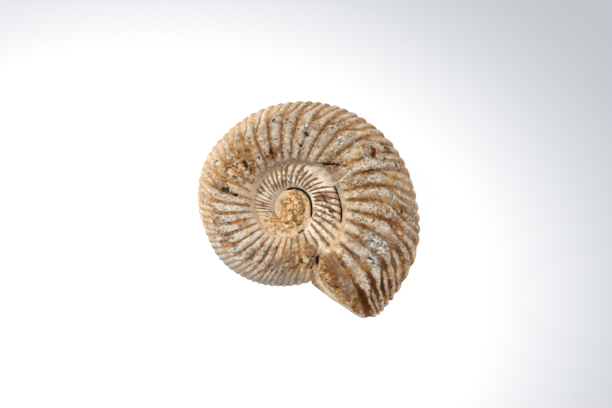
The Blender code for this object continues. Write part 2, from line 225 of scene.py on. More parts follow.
def groove_number(angle):
    """The count of grooves at an angle: whole on a groove, and in between on a rib."""
    return np.interp(angle, GROOVE_ANGLES, GROOVE_NUMBERS)


def groove_angle(number):
    """The angle of a count of grooves."""
    return np.interp(number, GROOVE_NUMBERS, GROOVE_ANGLES)


def forward_lean(angle, share):
    """Degrees a rib runs ahead of its place at mid flank: slope times distance, and a curl at the edge."""
    older = OLDER_SLOPE + (STEEP_SLOPE - OLDER_SLOPE) * stretch(angle, STEEP_STRETCH)
    slope = FORWARD_SLOPE + (older - FORWARD_SLOPE) * smooth_step(OLDER_FROM, OLDER_TO, angle)
    curl = FORWARD_CURL + LATE_CURL * smooth_step(*LATE_CURL_RAMP, angle)
    curl = curl - LATE_EASE * smooth_step(*LATE_EASE_RAMP, angle)
    curl = curl - LAST_EASE * smooth_step(*LAST_EASE_RAMP, angle)
    outer = np.clip((share - MID_FLANK) / (1.0 - MID_FLANK), 0.0, 1.0) ** 3
    return slope * (share - MID_FLANK) + curl * outer


def rib_line(numbers, share):
    """Angles at which these counts of ribs cross one share: the count along a fine arc, read backwards."""
    arc = np.linspace(ARC_FROM, ARC_TO, ARC_STEPS)
    return np.interp(numbers, groove_number(arc + forward_lean(arc, share)), arc)


last_turn_spacing = float(np.diff(GROOVE_ANGLES[7:41]).mean())
print(len(GROOVE_ANGLES), "grooves, on the last turn every", round(last_turn_spacing, 1), "degrees")

# %% [markdown]
# ## How deep the grooves are
# A groove is a bell curve across the count of ribs: deepest where the count is whole. The second groove of
# each rib is the same curve with its middle sliding from the first groove to halfway between, as the share
# of the radius rises, which draws the fork. Widths, depths and the place of each fork vary a little, since
# evenly cut ribs look machined.

# %% Ribs and forks
GROOVE_WIDTH = 0.135
SECOND_WIDTH = 0.9
GROOVE_DEPTH, OLDER_GROOVE_DEPTH, EDGE_GROOVE_DEPTH = 0.0125, 0.026, 0.0150
EDGE_RAMP = (0.76, 1.0)
DEEPER_BY, DEEPER_RAMP, DEEPER_FADE = 0.9, (10.0, -45.0), (0.98, 0.84)
BROADER_ASIDE, ASIDE_STRETCH, ASIDE_FADE = 0.22, (155.0, 185.0, 262.0, 290.0), (0.86, 0.72)
BROADER_OLDER = 0.30
WALL_REACH = 0.075
RIBS_FADE_FROM, RIBS_FADE_TO = 590.0, 640.0
FORK_FROM, FORK_TO = 0.755, 0.885
FORK_SPREAD, FORK_JITTERS = 0.035, 400
WOBBLE = 0.07
RIB_CROWN = 0.10


def groove_depth(angle, share):
    """Metres: a share of the radius that rises on the older turns, at the outer edge and by the aperture."""
    depth = GROOVE_DEPTH + (OLDER_GROOVE_DEPTH - GROOVE_DEPTH) * smooth_step(OLDER_FROM, OLDER_TO, angle)
    depth = depth + (EDGE_GROOVE_DEPTH - GROOVE_DEPTH) * smooth_step(*EDGE_RAMP, share)
    deeper = DEEPER_BY * smooth_step(*DEEPER_RAMP, angle) * smooth_step(*DEEPER_FADE, share)
    return coil_radius(angle) * depth * (1.0 + deeper)


def broader(angle, share):
    """Extra width of the grooves: on one side of the last turn short of its edge, and on all older turns."""
    aside = stretch(angle, ASIDE_STRETCH) * smooth_step(*ASIDE_FADE, share)
    return BROADER_ASIDE * aside + BROADER_OLDER * smooth_step(OLDER_FROM, OLDER_TO, angle)


def rib_pattern(angle, share, base):
    """How far each point is into a groove, 0 to 1, and how high it stands on a rib's rounded crown."""
    number = groove_number(angle + forward_lean(angle, share))
    number = number + WOBBLE * (noise(base, 4.0 * MM, 11) + 0.4 * noise(base, 1.4 * MM, 12))
    first_off = number - np.round(number)
    width = GROOVE_WIDTH * (1.0 + 0.30 * noise(base, 3.0 * MM, 13) + 0.20 * noise(base, 1.1 * MM, 14))
    width = width * (1.0 + broader(angle, share))
    first = bell(first_off, width)

    whole = np.ceil(number - 1e-9)
    jitters = np.random.default_rng(5).uniform(-FORK_SPREAD, FORK_SPREAD, FORK_JITTERS)
    jitter = jitters[whole.astype(int) % FORK_JITTERS]
    opened = smooth_step(FORK_FROM + jitter, FORK_TO + jitter, share)
    second_off = (number - whole) + 0.5 * opened
    on_outer = smooth_step(0.0, 0.15, opened) * smooth_step(OLDER_TO, OLDER_FROM, angle)
    second = bell(second_off, width * SECOND_WIDTH) * on_outer

    from_wall = smooth_step(0.0, WALL_REACH, share - seam_share(angle))
    fading = smooth_step(RIBS_FADE_TO, RIBS_FADE_FROM, angle)
    crown = np.cos(np.pi * np.clip(np.abs(first_off) * 2.0 - 1.0, -1.0, 1.0) / 2.0) * fading
    return from_wall * fading * np.maximum(first, second), crown


ribs_now = rib_pattern(np.linspace(0, 30, 301), np.full(301, 0.6), np.zeros((301, 3)))[0]
print("between 0 and 30 degrees there are", int((np.diff(np.sign(np.diff(ribs_now))) < 0).sum()), "grooves")

# %% [markdown]
# ## Wear, holes and cracks
# Before it was found the fossil lost flakes of shell, and water ate pits into it. Each mark below is a short
# stroke on the flank with its own width and depth, so one table serves the shape and the colour; the dark
# colour in the pits and slits is painted shade. Boolean cutters could carve the same pits, but they would
# leave ragged faces on a mesh this fine.

# %% Marks on the upper flank
# Each mark: angle and share of its start, angle and share of its end, half width and depth in mm.
MARKS = {
    "pit": (
        (101.0, 0.800, 100.5, 0.820, 0.42, 0.55), (92.5, 0.770, 91.0, 0.785, 0.30, 0.30),
        (90.0, 0.750, 89.5, 0.760, 0.25, 0.30), (135.9, 0.615, 137.0, 0.570, 0.48, 0.70),
        (135.7, 0.527, 137.2, 0.510, 0.38, 0.55), (108.3, 0.545, 108.6, 0.525, 0.36, 0.45),
        (109.3, 0.485, 109.5, 0.470, 0.30, 0.40), (165.0, 0.700, 167.5, 0.650, 0.52, 0.70),
        (168.6, 0.590, 169.6, 0.560, 0.42, 0.55), (122.0, 0.560, 123.0, 0.540, 0.28, 0.30),
        (77.0, 0.660, 75.0, 0.640, 0.42, 0.45), (81.5, 0.550, 78.5, 0.540, 0.22, 0.40),
        (61.0, 0.760, 61.5, 0.750, 0.30, 0.25), (298.0, 0.790, 296.5, 0.840, 0.55, 1.30),
        (289.0, 0.850, 288.5, 0.855, 0.32, 0.60), (-3.6, 0.856, -4.5, 0.850, 0.32, 0.35),
        (-25.5, 0.650, -24.5, 0.675, 0.26, 0.30), (-36.0, 0.675, -35.0, 0.715, 0.26, 0.35),
        (-38.5, 0.925, -39.5, 0.935, 0.34, 0.35), (-60.5, 0.660, -60.0, 0.680, 0.30, 0.45),
    ),
    "cave": (
        (33.5, 0.825, 30.5, 0.795, 0.62, 0.90), (-51.6, 0.800, -56.0, 0.990, 0.85, 0.90),
        (25.7, 0.852, 25.9, 0.852, 0.28, 0.50), (20.5, 0.915, 21.5, 0.905, 0.30, 0.35),
        (40.3, 0.513, 39.0, 0.519, 0.36, 0.50),
    ),
    "slit": (
        (58.0, 0.430, 53.0, 0.440, 0.16, 0.45), (51.1, 0.448, 42.5, 0.501, 0.30, 1.10),
        (42.5, 0.501, 37.5, 0.526, 0.15, 0.60), (37.5, 0.530, 33.0, 0.570, 0.15, 0.20),
        (23.2, 0.640, 22.3, 0.725, 0.20, 0.35),
    ),
    "vein": (
        (25.1, 0.405, 27.5, 0.559, 0.17, -0.12), (-51.8, 0.398, -50.4, 0.432, 0.46, -0.30),
        (306.5, 0.700, 301.5, 0.742, 0.50, -0.20),
    ),
}
WORN_PATCH = {"at": (35.0, 0.505), "half": (17.0, 0.080), "depth": 0.45 * MM}
CHALK_FILL = {"at": (46.0, 0.374), "half": (24.0, 0.049), "rise": 0.60 * MM, "reach": 1.2 * MM}
SEAM_GAPS = (
    ((-22.0, -12.0, 20.0, 27.0), 1.40 * MM),
    ((328.0, 344.0, 448.0, 472.0), 1.50 * MM),
    ((284.0, 291.0, 297.0, 305.0), 1.10 * MM),
)
GAP_HALF_WIDTH = 0.35 * MM
SEAM_LINE = 0.80 * MM


def plan_place(angle, share):
    """x and y from the coil's axis, as a share of the last turn's radius at that angle."""
    radius = share * coil_radius(angle)
    return np.array([radius * math.cos(math.radians(angle)), radius * math.sin(math.radians(angle))])


def stroke_distance(plan, start, end):
    """Distance in plan from a straight stroke: to its nearest point, clamped between its two ends."""
    a, b = plan_place(*start), plan_place(*end)
    along = np.clip(((plan - a) @ (b - a)) / max(float((b - a) @ (b - a)), 1e-12), 0.0, 1.0)
    return np.linalg.norm(plan - (a + along[..., None] * (b - a)), axis=-1)


def patch_mask(plan, at, half, plateau=0.70):
    """1 in the middle of an oval on the last turn and 0 outside it; half sizes in degrees and shares."""
    angle = np.degrees(np.arctan2(plan[..., 1], plan[..., 0]))
    off_angle = ((angle - at[0] + 180.0) % TURN - 180.0) / half[0]
    share = np.linalg.norm(plan, axis=-1) / coil_radius(at[0] + off_angle * half[0])
    return smooth_step(1.15, plateau, np.hypot(off_angle, (share - at[1]) / half[1]))


def seam_gap(angle):
    """Depth of the open crack where a turn meets the one inside it, at its deepest on each stretch."""
    return np.maximum.reduce([deep * stretch(angle, ramps) for ramps, deep in SEAM_GAPS])


print(sum(map(len, MARKS.values())), "marks and", len(SEAM_GAPS), "open stretches of seam")

# %% [markdown]
# Some patches differ in stuff rather than in shape. Bare calcite glitters in grey and white crystals, iron
# has rusted deep brown in the widest grooves, and yellow sand or blue-grey slate still cling to the shell.
# The blue-grey along the lower outer edge is painted shade where the edge turns under. Ovals on the flank say
# where, and the noise in the finish breaks their outlines up.

# %% Patches of other stuff
# Each patch: angle and share of its middle, half sizes in degrees and in shares, strength.
PATCHES = {
    "calcite": (
        (-25.0, 0.715, 7.5, 0.12, 0.85), (-35.5, 0.69, 6.0, 0.12, 0.85), (-56.0, 0.725, 3.0, 0.05, 0.60),
        (51.4, 0.695, 5.0, 0.055, 0.90), (61.2, 0.757, 2.5, 0.03, 0.60), (44.0, 0.739, 2.2, 0.03, 0.60),
        (31.6, 0.738, 2.8, 0.035, 0.90), (25.2, 0.834, 5.0, 0.045, 1.00), (20.4, 0.911, 2.6, 0.035, 0.80),
        (23.0, 0.598, 1.6, 0.02, 1.00), (76.9, 0.719, 4.5, 0.055, 0.90), (78.0, 0.505, 3.0, 0.03, 0.80),
        (91.2, 0.771, 3.4, 0.04, 0.90), (3.7, 0.788, 5.5, 0.06, 0.70), (-5.0, 0.936, 6.0, 0.03, 1.00),
        (-14.0, 0.93, 4.0, 0.04, 0.60), (181.0, 0.70, 4.0, 0.06, 0.60), (196.3, 0.773, 5.0, 0.06, 0.60),
        (222.0, 0.869, 6.0, 0.05, 0.60), (122.3, 0.56, 2.6, 0.04, 0.50), (148.7, 0.856, 2.4, 0.03, 1.00),
        (141.8, 0.761, 2.2, 0.025, 0.80), (173.6, 0.927, 4.0, 0.03, 0.90), (183.3, 0.903, 4.0, 0.035, 0.80),
    ),
    "rust": (
        (-52.2, 0.84, 3.6, 0.11, 1.00), (-43.0, 0.86, 4.5, 0.12, 1.00), (-32.4, 0.825, 4.0, 0.05, 0.90),
        (-39.0, 0.93, 3.0, 0.03, 0.90), (30.4, 0.925, 3.6, 0.045, 0.80), (282.2, 0.725, 2.5, 0.025, 1.00),
        (288.0, 0.79, 5.0, 0.07, 0.80), (511.0, 0.677, 6.0, 0.06, 0.80), (-4.0, 0.88, 5.0, 0.04, 0.60),
        (290.0, 0.71, 7.0, 0.05, 0.45),
    ),
    "ochre": (
        (-56.5, 0.85, 4.0, 0.11, 0.75), (280.0, 0.68, 20.0, 0.22, 0.65), (144.0, 0.68, 24.0, 0.18, 0.55),
        (205.0, 0.565, 15.0, 0.08, 0.40), (33.5, 0.60, 2.6, 0.045, 0.90), (36.0, 0.69, 1.8, 0.06, 0.90),
        (2.4, 0.768, 4.5, 0.05, 0.70), (79.5, 0.74, 4.5, 0.045, 0.80), (14.4, 0.829, 3.4, 0.025, 0.80),
        (279.7, 0.779, 2.0, 0.02, 0.90), (585.0, 0.50, 30.0, 0.40, 1.00), (625.0, 0.40, 32.0, 0.19, 1.00),
    ),
    # Grey slate on the flank, and painted blue-grey shade where the lower outer edge turns under.
    "slate_and_shade": (
        (252.0, 0.91, 26.0, 0.12, 1.00), (215.0, 0.96, 26.0, 0.08, 0.65), (264.0, 0.79, 16.0, 0.10, 1.00),
        (236.0, 0.665, 11.0, 0.05, 0.40),
    ),
    "stain": (
        (-55.5, 0.85, 5.0, 0.13, 1.00), (264.0, 0.77, 16.0, 0.11, 0.75), (141.0, 0.66, 20.0, 0.12, 0.90),
        (165.0, 0.69, 8.0, 0.10, 0.90), (112.0, 0.60, 8.0, 0.12, 0.60), (108.0, 0.51, 12.0, 0.065, 1.00),
        (142.0, 0.565, 17.0, 0.12, 0.85), (35.5, 0.79, 4.5, 0.045, 1.00), (31.0, 0.895, 4.5, 0.05, 1.00),
        (20.1, 0.908, 4.0, 0.05, 1.00), (76.0, 0.69, 5.0, 0.06, 1.00), (128.0, 0.64, 20.0, 0.24, 0.35),
        (283.0, 0.62, 14.0, 0.18, 0.35), (284.0, 0.93, 9.0, 0.10, 0.20), (-33.0, 0.66, 10.0, 0.07, 0.35),
        (236.0, 0.665, 11.0, 0.05, 0.70), (192.0, 0.826, 6.0, 0.05, 0.80), (204.0, 0.86, 9.0, 0.07, 0.70),
        (211.3, 0.802, 5.0, 0.06, 0.80), (222.0, 0.80, 5.0, 0.05, 0.80), (232.3, 0.758, 5.0, 0.06, 0.80),
        (249.0, 0.56, 6.0, 0.09, 0.80), (270.0, 0.64, 8.0, 0.12, 0.70), (85.0, 0.64, 30.0, 0.26, 0.25),
        (280.5, 0.74, 5.0, 0.06, 1.00), (294.0, 0.72, 9.0, 0.15, 0.90), (352.0, 0.59, 11.0, 0.11, 1.00),
        (373.0, 0.52, 10.0, 0.12, 0.90), (335.0, 0.64, 8.0, 0.08, 0.70), (398.0, 0.47, 14.0, 0.08, 0.60),
        (425.0, 0.62, 22.0, 0.10, 0.50), (450.0, 0.49, 24.0, 0.09, 1.00), (510.0, 0.67, 8.0, 0.09, 0.90),
        (45.0, 0.47, 10.0, 0.06, 0.80), (15.0, 0.56, 7.0, 0.08, 0.50), (90.0, 0.78, 8.0, 0.06, 0.50),
        (-30.0, 0.60, 14.0, 0.06, 0.30), (205.0, 0.565, 15.0, 0.08, 0.60), (-5.0, 0.79, 14.0, 0.055, 0.70),
    ),
}


def stuff(kind, angle, share):
    """Strength of one stuff, 0 to 1: for each of its ovals a smooth fall from the middle to the rim."""
    total = np.zeros(np.shape(angle))
    for at_angle, at_share, half_angle, half_share, strength in PATCHES[kind]:
        away = np.hypot((angle - at_angle) / half_angle, (share - at_share) / half_share)
        total = np.maximum(total, strength * smooth_step(1.25, 0.60, away))
    return total


print(sum(map(len, PATCHES.values())), "patches")

# %% [markdown]
# ## The knob of rock
# The middle of the coil is hidden by yellow sandy rock. It is a low oval dome that simply rises through the
# coil: at each place the higher of the two surfaces wins, which needs no cutting and leaves the gap round the
# dome open. Lumps make it uneven, and small holes show where grains have fallen out.

# %% The dome's height
KNOB_AT = (0.9 * MM, -1.5 * MM)
KNOB_SPAN = (3.5 * MM, 5.9 * MM)
KNOB_TOP = 3.5 * MM
KNOB_DROP = 1.6 * MM
KNOB_POWER = 3.0
HOLE_IN_SAND = 0.30 * MM


def on_plane(plan):
    """Plan points with a height of zero, as the noise wants them."""
    return np.concatenate([plan, np.zeros_like(plan[..., :1])], axis=-1)


def sand_holes(plan):
    """0 to 1: where the noise of the sandy rock is high, a grain has fallen out."""
    flat = on_plane(plan)
    return smooth_step(0.15, 0.50, noise(flat, 0.95 * MM, 34) + 0.60 * noise(flat, 0.4 * MM, 35))


def knob_height(plan):
    """Top minus the drop times (distance from the top, as a share of the span) to a power, with lumps."""
    away = (plan - np.array(KNOB_AT)) / np.array(KNOB_SPAN)
    flat = on_plane(plan)
    outline = 1.0 + 0.16 * noise(flat, 2.2 * MM, 31)
    lumps = 0.28 * MM * layered_noise(flat, 1.7 * MM, 32) + 0.10 * MM * noise(flat, 0.45 * MM, 33)
    fall = KNOB_DROP * (np.linalg.norm(away, axis=-1) * outline) ** KNOB_POWER
    return KNOB_TOP - fall + lumps - HOLE_IN_SAND * sand_holes(plan)


knob_top = float(knob_height(np.array([KNOB_AT]))[0])
print("the knob tops out", round(knob_top / MM, 1), "mm above the middle plane")

# %% [markdown]
# ## The bare tube
# Before any relief, a point of the tube is the section's outline scaled by the coil's radius at its angle.
# Its outward direction comes from the outline a short step ahead and behind, turned by a right angle, so that
# the relief can push straight out of the surface.

# %% The bare tube
SLOPE_STEP = 0.01


def bare_tube(angle, way):
    """Share of the radius, height and outward normal of the smooth tube, from the outline of its section."""
    height = HALF_BREADTH * np.interp(way, WAY, UP)
    ahead, behind = np.clip(way + SLOPE_STEP, 0.0, 1.0), np.clip(way - SLOPE_STEP, 0.0, 1.0)
    run_out = share_at(angle, ahead) - share_at(angle, behind)
    run_up = HALF_BREADTH * (np.interp(ahead, WAY, UP) - np.interp(behind, WAY, UP))
    length = np.hypot(run_out, run_up)
    at_edge = way >= 1.0
    normal_out = np.where(at_edge, 1.0, -run_up / length)
    normal_up = np.where(at_edge, 0.0, run_out / length)
    return share_at(angle, way), height, normal_out, normal_up


print("half way along the section the tube stands at", bare_tube(0.0, 0.5)[0].round(2), "of the radius")

# %% [markdown]
# Some looks belong to a part of the coil and not to a shape. The youngest half turn is duller, one side lay
# in cool grey mud, the outer edge is paler in places, partly bleached shell and partly painted light, the
# walls by the seams are cream, and sand rings part of the knob. The grooves are slim on one stretch and faint
# on two. Each zone is a stretch of angles with soft ramps, times a ramp in the share of the radius or a bell
# around a seam.

# %% Zones of the coil
OLDER_RAMP, OLDER_LOOK_RAMP = (296.0, 304.0), (296.0, 306.0)
CORE_RAMP, CORE_FADE, SOFT_FADE = (585.0, 640.0), 0.50, 0.35
SLIM_STRETCH = (45.0, 75.0, 150.0, 168.0)
SOFT_STRETCH, SOFT_FAINT = (480.0, 505.0, 585.0, 605.0), 0.45
FAINT_STRETCH, FAINT = (205.0, 225.0, 280.0, 296.0), 0.28
COOL_STRETCH = (150.0, 185.0, 212.0, 265.0)
DULL_STRETCH, DULL_FADE = (-45.0, -15.0, 105.0, 140.0), (0.93, 0.84)
# Stretches of the outer edge painted paler: partly bleached shell and partly painted light.
BLEACHED_AND_LIT_STRETCHES = (
    ((60.0, 120.0, 190.0, 290.0), 1.0),
    ((-22.0, 5.0, 70.0, 100.0), 0.45),
    ((275.0, 288.0, 305.0, 315.0), 1.0),
)
BLEACHED_AND_LIT_RAMP = (0.78, 0.92)
WALL_STRETCH, LATE_WALL_STRETCH, LATE_WALL = (120.0, 165.0, 255.0, 285.0), (-60.0, -48.0, 8.0, 20.0), 0.55
COVERED_WALL_RAMP, BELOW_KNOB_STRETCH = (60.0, 90.0), (238.0, 262.0, 308.0, 330.0)
WALL_WIDTH, COVERED_WALL_WIDTH, BELOW_KNOB_WIDTH = 4.2 * MM, 1.5 * MM, 2.0 * MM
SHELL_RAMP, SHELL_INNER, SHELL_OUTER = (-49.5, -53.5), (0.420, 0.470), (0.86, 0.76)
RING_RAMP, RING_TOWARDS, RING_FACING, RING_STRENGTH = (605.0, 650.0), -25.0, (-0.6, 0.3), 0.70


def zones(angle, share, run, from_seam, to_cover):
    """Masks that follow from the place on the coil: products of stretches, ramps and bells."""
    about = angle % TURN
    older = smooth_step(*OLDER_RAMP, angle)
    soft = stretch(angle, SOFT_STRETCH)
    core = smooth_step(*CORE_RAMP, angle)
    bleaching_and_light = [strength * stretch(angle, ramps) for ramps, strength in BLEACHED_AND_LIT_STRETCHES]
    wall = np.maximum(stretch(about, WALL_STRETCH), LATE_WALL * stretch(angle, LATE_WALL_STRETCH))
    cream = np.maximum.reduce([
        wall * bell(from_seam, WALL_WIDTH) * (angle < OLDER_FROM),
        smooth_step(*COVERED_WALL_RAMP, about) * older * bell(to_cover, COVERED_WALL_WIDTH),
        stretch(about, BELOW_KNOB_STRETCH) * older * bell(to_cover, BELOW_KNOB_WIDTH),
    ])
    facing = np.cos(np.radians(angle - RING_TOWARDS))
    shell = smooth_step(*SHELL_INNER, share) * smooth_step(*SHELL_OUTER, share)
    return {
        "slim": stretch(angle, SLIM_STRETCH),
        "faint": SOFT_FAINT * soft + FAINT * stretch(angle, FAINT_STRETCH),
        "ring": RING_STRENGTH * smooth_step(*RING_RAMP, angle) * smooth_step(*RING_FACING, facing),
        "older": smooth_step(*OLDER_LOOK_RAMP, angle) * (1.0 - CORE_FADE * core) * (1.0 - SOFT_FADE * soft),
        "cool": stretch(angle, COOL_STRETCH),
        "dull": stretch(angle, DULL_STRETCH) * smooth_step(*DULL_FADE, share),
        # Partly bleached shell and partly painted light along the outer edge.
        "bleached": np.maximum.reduce(bleaching_and_light) * smooth_step(*BLEACHED_AND_LIT_RAMP, share),
        "cream": cream,
        "shell": smooth_step(*SHELL_RAMP, run) * shell,
    }


middle_zones = zones(*np.array([[200.0], [0.6], [200.0], [9.0 * MM], [9.0 * MM]]))
print("zones at 200 degrees:", [name for name, mask in middle_zones.items() if mask[0] > 0.0])

# %% [markdown]
# Two things roughen the smooth tube. Growth lines, swells and grain push every point in or out along its own
# outward direction. The pits, caves and slits push the upper flank down, each as a bell across the distance
# from its stroke, and noise bends all of them but the thin slits, so that their rims look torn.

# %% Roughness and cuts
SHELL_SWELLS, FINE_SWELLS, GRAIN, TORN_BY = 0.10 * MM, 0.05 * MM, 0.030 * MM, 0.34 * MM
LINES_ON_RIBS, LINES_OUT = 7.0, 4.0
ROUGH_WORN, ROUGH_CALCITE, ROUGH_BURIED, ROUGH_CRUMBLED = 0.06 * MM, 0.10 * MM, 0.35 * MM, 0.30 * MM
GROWTH_LINES = 0.035 * MM


def roughness(base, side, run, share, coarse):
    """Metres of swells and grain, and the growth lines: noise drawn out along the ribs, -1 to 1."""
    along_ribs = np.stack([groove_number(run) * LINES_ON_RIBS, share * LINES_OUT, side], axis=-1)
    growth = noise(along_ribs, 1.0, 81)
    swell = SHELL_SWELLS * layered_noise(base, 3.2 * MM, 41) + FINE_SWELLS * noise(base, 0.9 * MM, 42)
    grain = GRAIN * noise(base, 0.42 * MM, 43) + coarse * noise(base, 0.7 * MM, 44)
    return swell + grain, growth


def cut_marks(z, base, plan, upper):
    """Heights with every mark cut in, and each kind's mask: a bell across the distance from its stroke."""
    jagged = [noise(base, 0.9 * MM, k) + 0.6 * noise(base, 0.4 * MM, k + 1) for k in (71, 73)]
    torn = plan + TORN_BY * np.stack(jagged, axis=-1)
    marked = {}
    for kind, strokes in MARKS.items():
        marked[kind] = np.zeros_like(z)
        for *ends, half_width, depth in strokes:
            away = stroke_distance(plan if kind == "slit" else torn, ends[:2], ends[2:])
            inside = bell(away, half_width * MM) * upper
            z = z - depth * MM * inside
            marked[kind] = np.maximum(marked[kind], inside)
    return z, marked


pit_at = plan_place(*MARKS["pit"][0][:2])[None, :]
drop = -float(cut_marks(np.zeros(1), on_plane(pit_at), pit_at, True)[0][0])
print("by the first pit's start the flank drops", round(drop / MM, 2), "mm")

# %% [markdown]
# ## One surface for everything
# This is the heart of the model: given angles, shares of the way and a side, it returns points in metres and
# a mask for each thing the finish has to know, such as groove, pit or sand. The bare tube comes first, then
# ribs and roughness push each point outward, and cracks, marks and the knob move it up or down. At each place
# the masks tell the zones, the stuffs and the cuts apart. Doing it in whole arrays handles a hundred thousand
# points in a few seconds.

# %% The skin
TIP_FROM, TIP_TO, TIP_WEAR = -49.0, -58.0, 0.085
EDGE_WEAR, EDGE_WEAR_RAMP = 0.024, (-15.0, -45.0)
CRUMBLED_RAMP, CRUMBLED_SHIFT = (-58.5, -60.5), 1.5
WORN_BEFORE, WORN_GROOVES, CHALK_PLATEAU = 200.0, 0.75, 0.25
RIBBED_FROM_SEAM, CALM_IN_CHALK, FILL_LEVEL = 0.05, 0.7, 0.15
FULL_ROUGH_RADIUS, LEAST_ROUGH = 30.0 * MM, 0.35
KNOB_BEYOND, KNOB_BLEND = 480.0, (-0.35 * MM, 0.25 * MM)
# Painted shade: how strongly, at what angle and how widely the seam near the top is browned.
SEAM_SHADE, SEAM_SHADE_AT, SEAM_SHADE_HALF = 0.30, 85.0, 24.0
# Painted shade: the last number darkens the holes in the sand.
CREAM_OVER_SAND, SANDY_CRUMBS, STAINED_CRUMBS, HOLE_SHADE = 0.65, 0.85, 0.9, 0.85
MASKS = (
    "groove", "pit", "cave", "dull", "chalk", "crevice", "seam", "calcite", "rust", "ochre", "slate_and_shade", "shell",
    "older", "cool", "bleached", "streak", "stain", "crest", "cream",
)


def skin(angle, way, side):
    """Points of the stone and its masks, from angles, shares of the way and sides (1 upper, -1 lower)."""
    angle, way, side = np.broadcast_arrays(*(np.asarray(v, float) for v in (angle, way, side)))
    share, height, normal_out, normal_up = bare_tube(angle, way)
    radius = coil_radius(angle)
    turn = np.radians(angle)
    heading = np.stack([np.cos(turn), np.sin(turn)], axis=-1)
    plan = heading * (radius * share)[..., None]
    base = np.concatenate([plan, (side * radius * height)[..., None]], axis=-1)
    upper = side > 0

    worn = patch_mask(plan, WORN_PATCH["at"], WORN_PATCH["half"]) * upper * (angle < WORN_BEFORE)
    chalk = patch_mask(plan, CHALK_FILL["at"], CHALK_FILL["half"], CHALK_PLATEAU) * upper
    stuffs = {kind: stuff(kind, angle, share) * upper for kind in PATCHES}
    run = angle + forward_lean(angle, share)
    crumbled = smooth_step(*CRUMBLED_RAMP, run + CRUMBLED_SHIFT * noise(base, 1.5 * MM, 91)) * upper
    buried = stuffs["ochre"] * (angle > OLDER_FROM)
    groove, crown = rib_pattern(angle, share, base)
    groove = groove * (1.0 - WORN_GROOVES * worn) * (1.0 - chalk) * (1.0 - buried)
    ribbed = smooth_step(0.0, RIBBED_FROM_SEAM, share - seam_share(angle)) * (1.0 - worn) * (1.0 - chalk)

    coarse = ROUGH_WORN * worn + ROUGH_CALCITE * stuffs["calcite"]
    coarse = coarse + ROUGH_BURIED * buried + ROUGH_CRUMBLED * crumbled
    rough, growth = roughness(base, side, run, share, coarse)
    rough = (rough + GROWTH_LINES * growth * ribbed) * np.clip(radius / FULL_ROUGH_RADIUS, LEAST_ROUGH, 1.0)
    push = groove_depth(angle, share) * (RIB_CROWN * crown * ribbed - groove)
    push = push + rough * (1.0 - CALM_IN_CHALK * chalk)

    past_tip = np.clip((angle - TIP_FROM) / (TIP_TO - TIP_FROM), 0.0, 2.0)
    worn_edge = TIP_WEAR * past_tip**2 + EDGE_WEAR * smooth_step(*EDGE_WEAR_RAMP, angle)
    reach = radius * share * (1.0 - worn_edge * share**4) + push * normal_out
    z = radius * height + push * normal_up
    plan = heading * reach[..., None]

    from_seam = way * SECTION_LENGTH * radius
    to_cover = np.abs(covered_from(angle) - way) * SECTION_LENGTH * radius
    older = smooth_step(*OLDER_RAMP, angle)
    covered_gap = seam_gap(angle - TURN) * older * bell(to_cover, GAP_HALF_WIDTH)
    gap = np.maximum(seam_gap(angle) * bell(from_seam, GAP_HALF_WIDTH), covered_gap)
    seam = np.maximum(bell(from_seam, SEAM_LINE), older * bell(to_cover, 0.5 * SEAM_LINE))
    beside = np.where(angle > OLDER_FROM, to_cover, from_seam)
    fill = CHALK_FILL["rise"] * chalk * (FILL_LEVEL + bell(beside, CHALK_FILL["reach"]))
    z = z - gap * upper * (1.0 - chalk) - WORN_PATCH["depth"] * worn + fill
    z, marked = cut_marks(z, base, plan, upper)

    knob = knob_height(plan)
    within = angle > KNOB_BEYOND
    sand = smooth_step(*KNOB_BLEND, knob - z) * within
    z = np.where(within, np.maximum(z, knob), z)
    holes = sand_holes(plan) * np.maximum(sand, buried)

    zone = zones(angle, share, run, from_seam, to_cover)
    cream = zone["cream"] * upper
    sandy = np.maximum(stuffs["ochre"], zone["ring"]) * (1.0 - CREAM_OVER_SAND * cream)
    # Painted shade: the seam near the top is browned through the stain mask.
    seam_shade = SEAM_SHADE * seam * bell(angle % TURN - SEAM_SHADE_AT, SEAM_SHADE_HALF)
    brown_crumbs = STAINED_CRUMBS * crumbled
    masks = {name: zone[name] for name in ("older", "cool", "dull", "bleached")}
    masks.update(
        stuffs,
        ochre=np.maximum.reduce([sandy, sand, SANDY_CRUMBS * crumbled]),
        # The stain mask: real stain, and painted shade in the sand's holes and along the seam near the top.
        stain=np.maximum.reduce([stuffs["stain"], brown_crumbs, HOLE_SHADE * holes, seam_shade]),
        groove=groove ** (1.0 + zone["slim"]) * (1.0 - zone["faint"]),
        # Painted highlight: the crests of the ribs, which the finish paints paler.
        crest=crown * ribbed,
        streak=growth,
        # pit: the pits and slits, which the finish paints nearly black as painted shade.
        pit=np.maximum(marked["pit"], marked["slit"]),
        cave=marked["cave"],
        chalk=np.maximum(chalk, marked["vein"]),
        # crevice: how deep the open crack is; the finish paints shade there.
        crevice=np.clip(gap / MM, 0.0, 1.0) * (1.0 - chalk),
        seam=seam * (1.0 - np.maximum(stuffs["ochre"], sand)),
        cream=cream,
        shell=zone["shell"] * upper * (1.0 - crumbled),
    )
    return np.concatenate([plan, (side * z)[..., None]], axis=-1), masks


start = skin(np.array([0.0]), np.array([0.4]), 1.0)[0][0]
print("a point of the last turn's flank, in mm from the axis:", (start / MM).round(2))

# %% [markdown]
# ## Gathering points and faces
# The stone is stitched from grids that differ in fineness, because the ribs of one turn do not line up with
# those of the next. A small class numbers the points. Grids become triangles at once, and two lines of
# points with different counts are zipped: each step along either line gives one triangle to the point beside
# it on the other, found for all of them together with a sorted search.

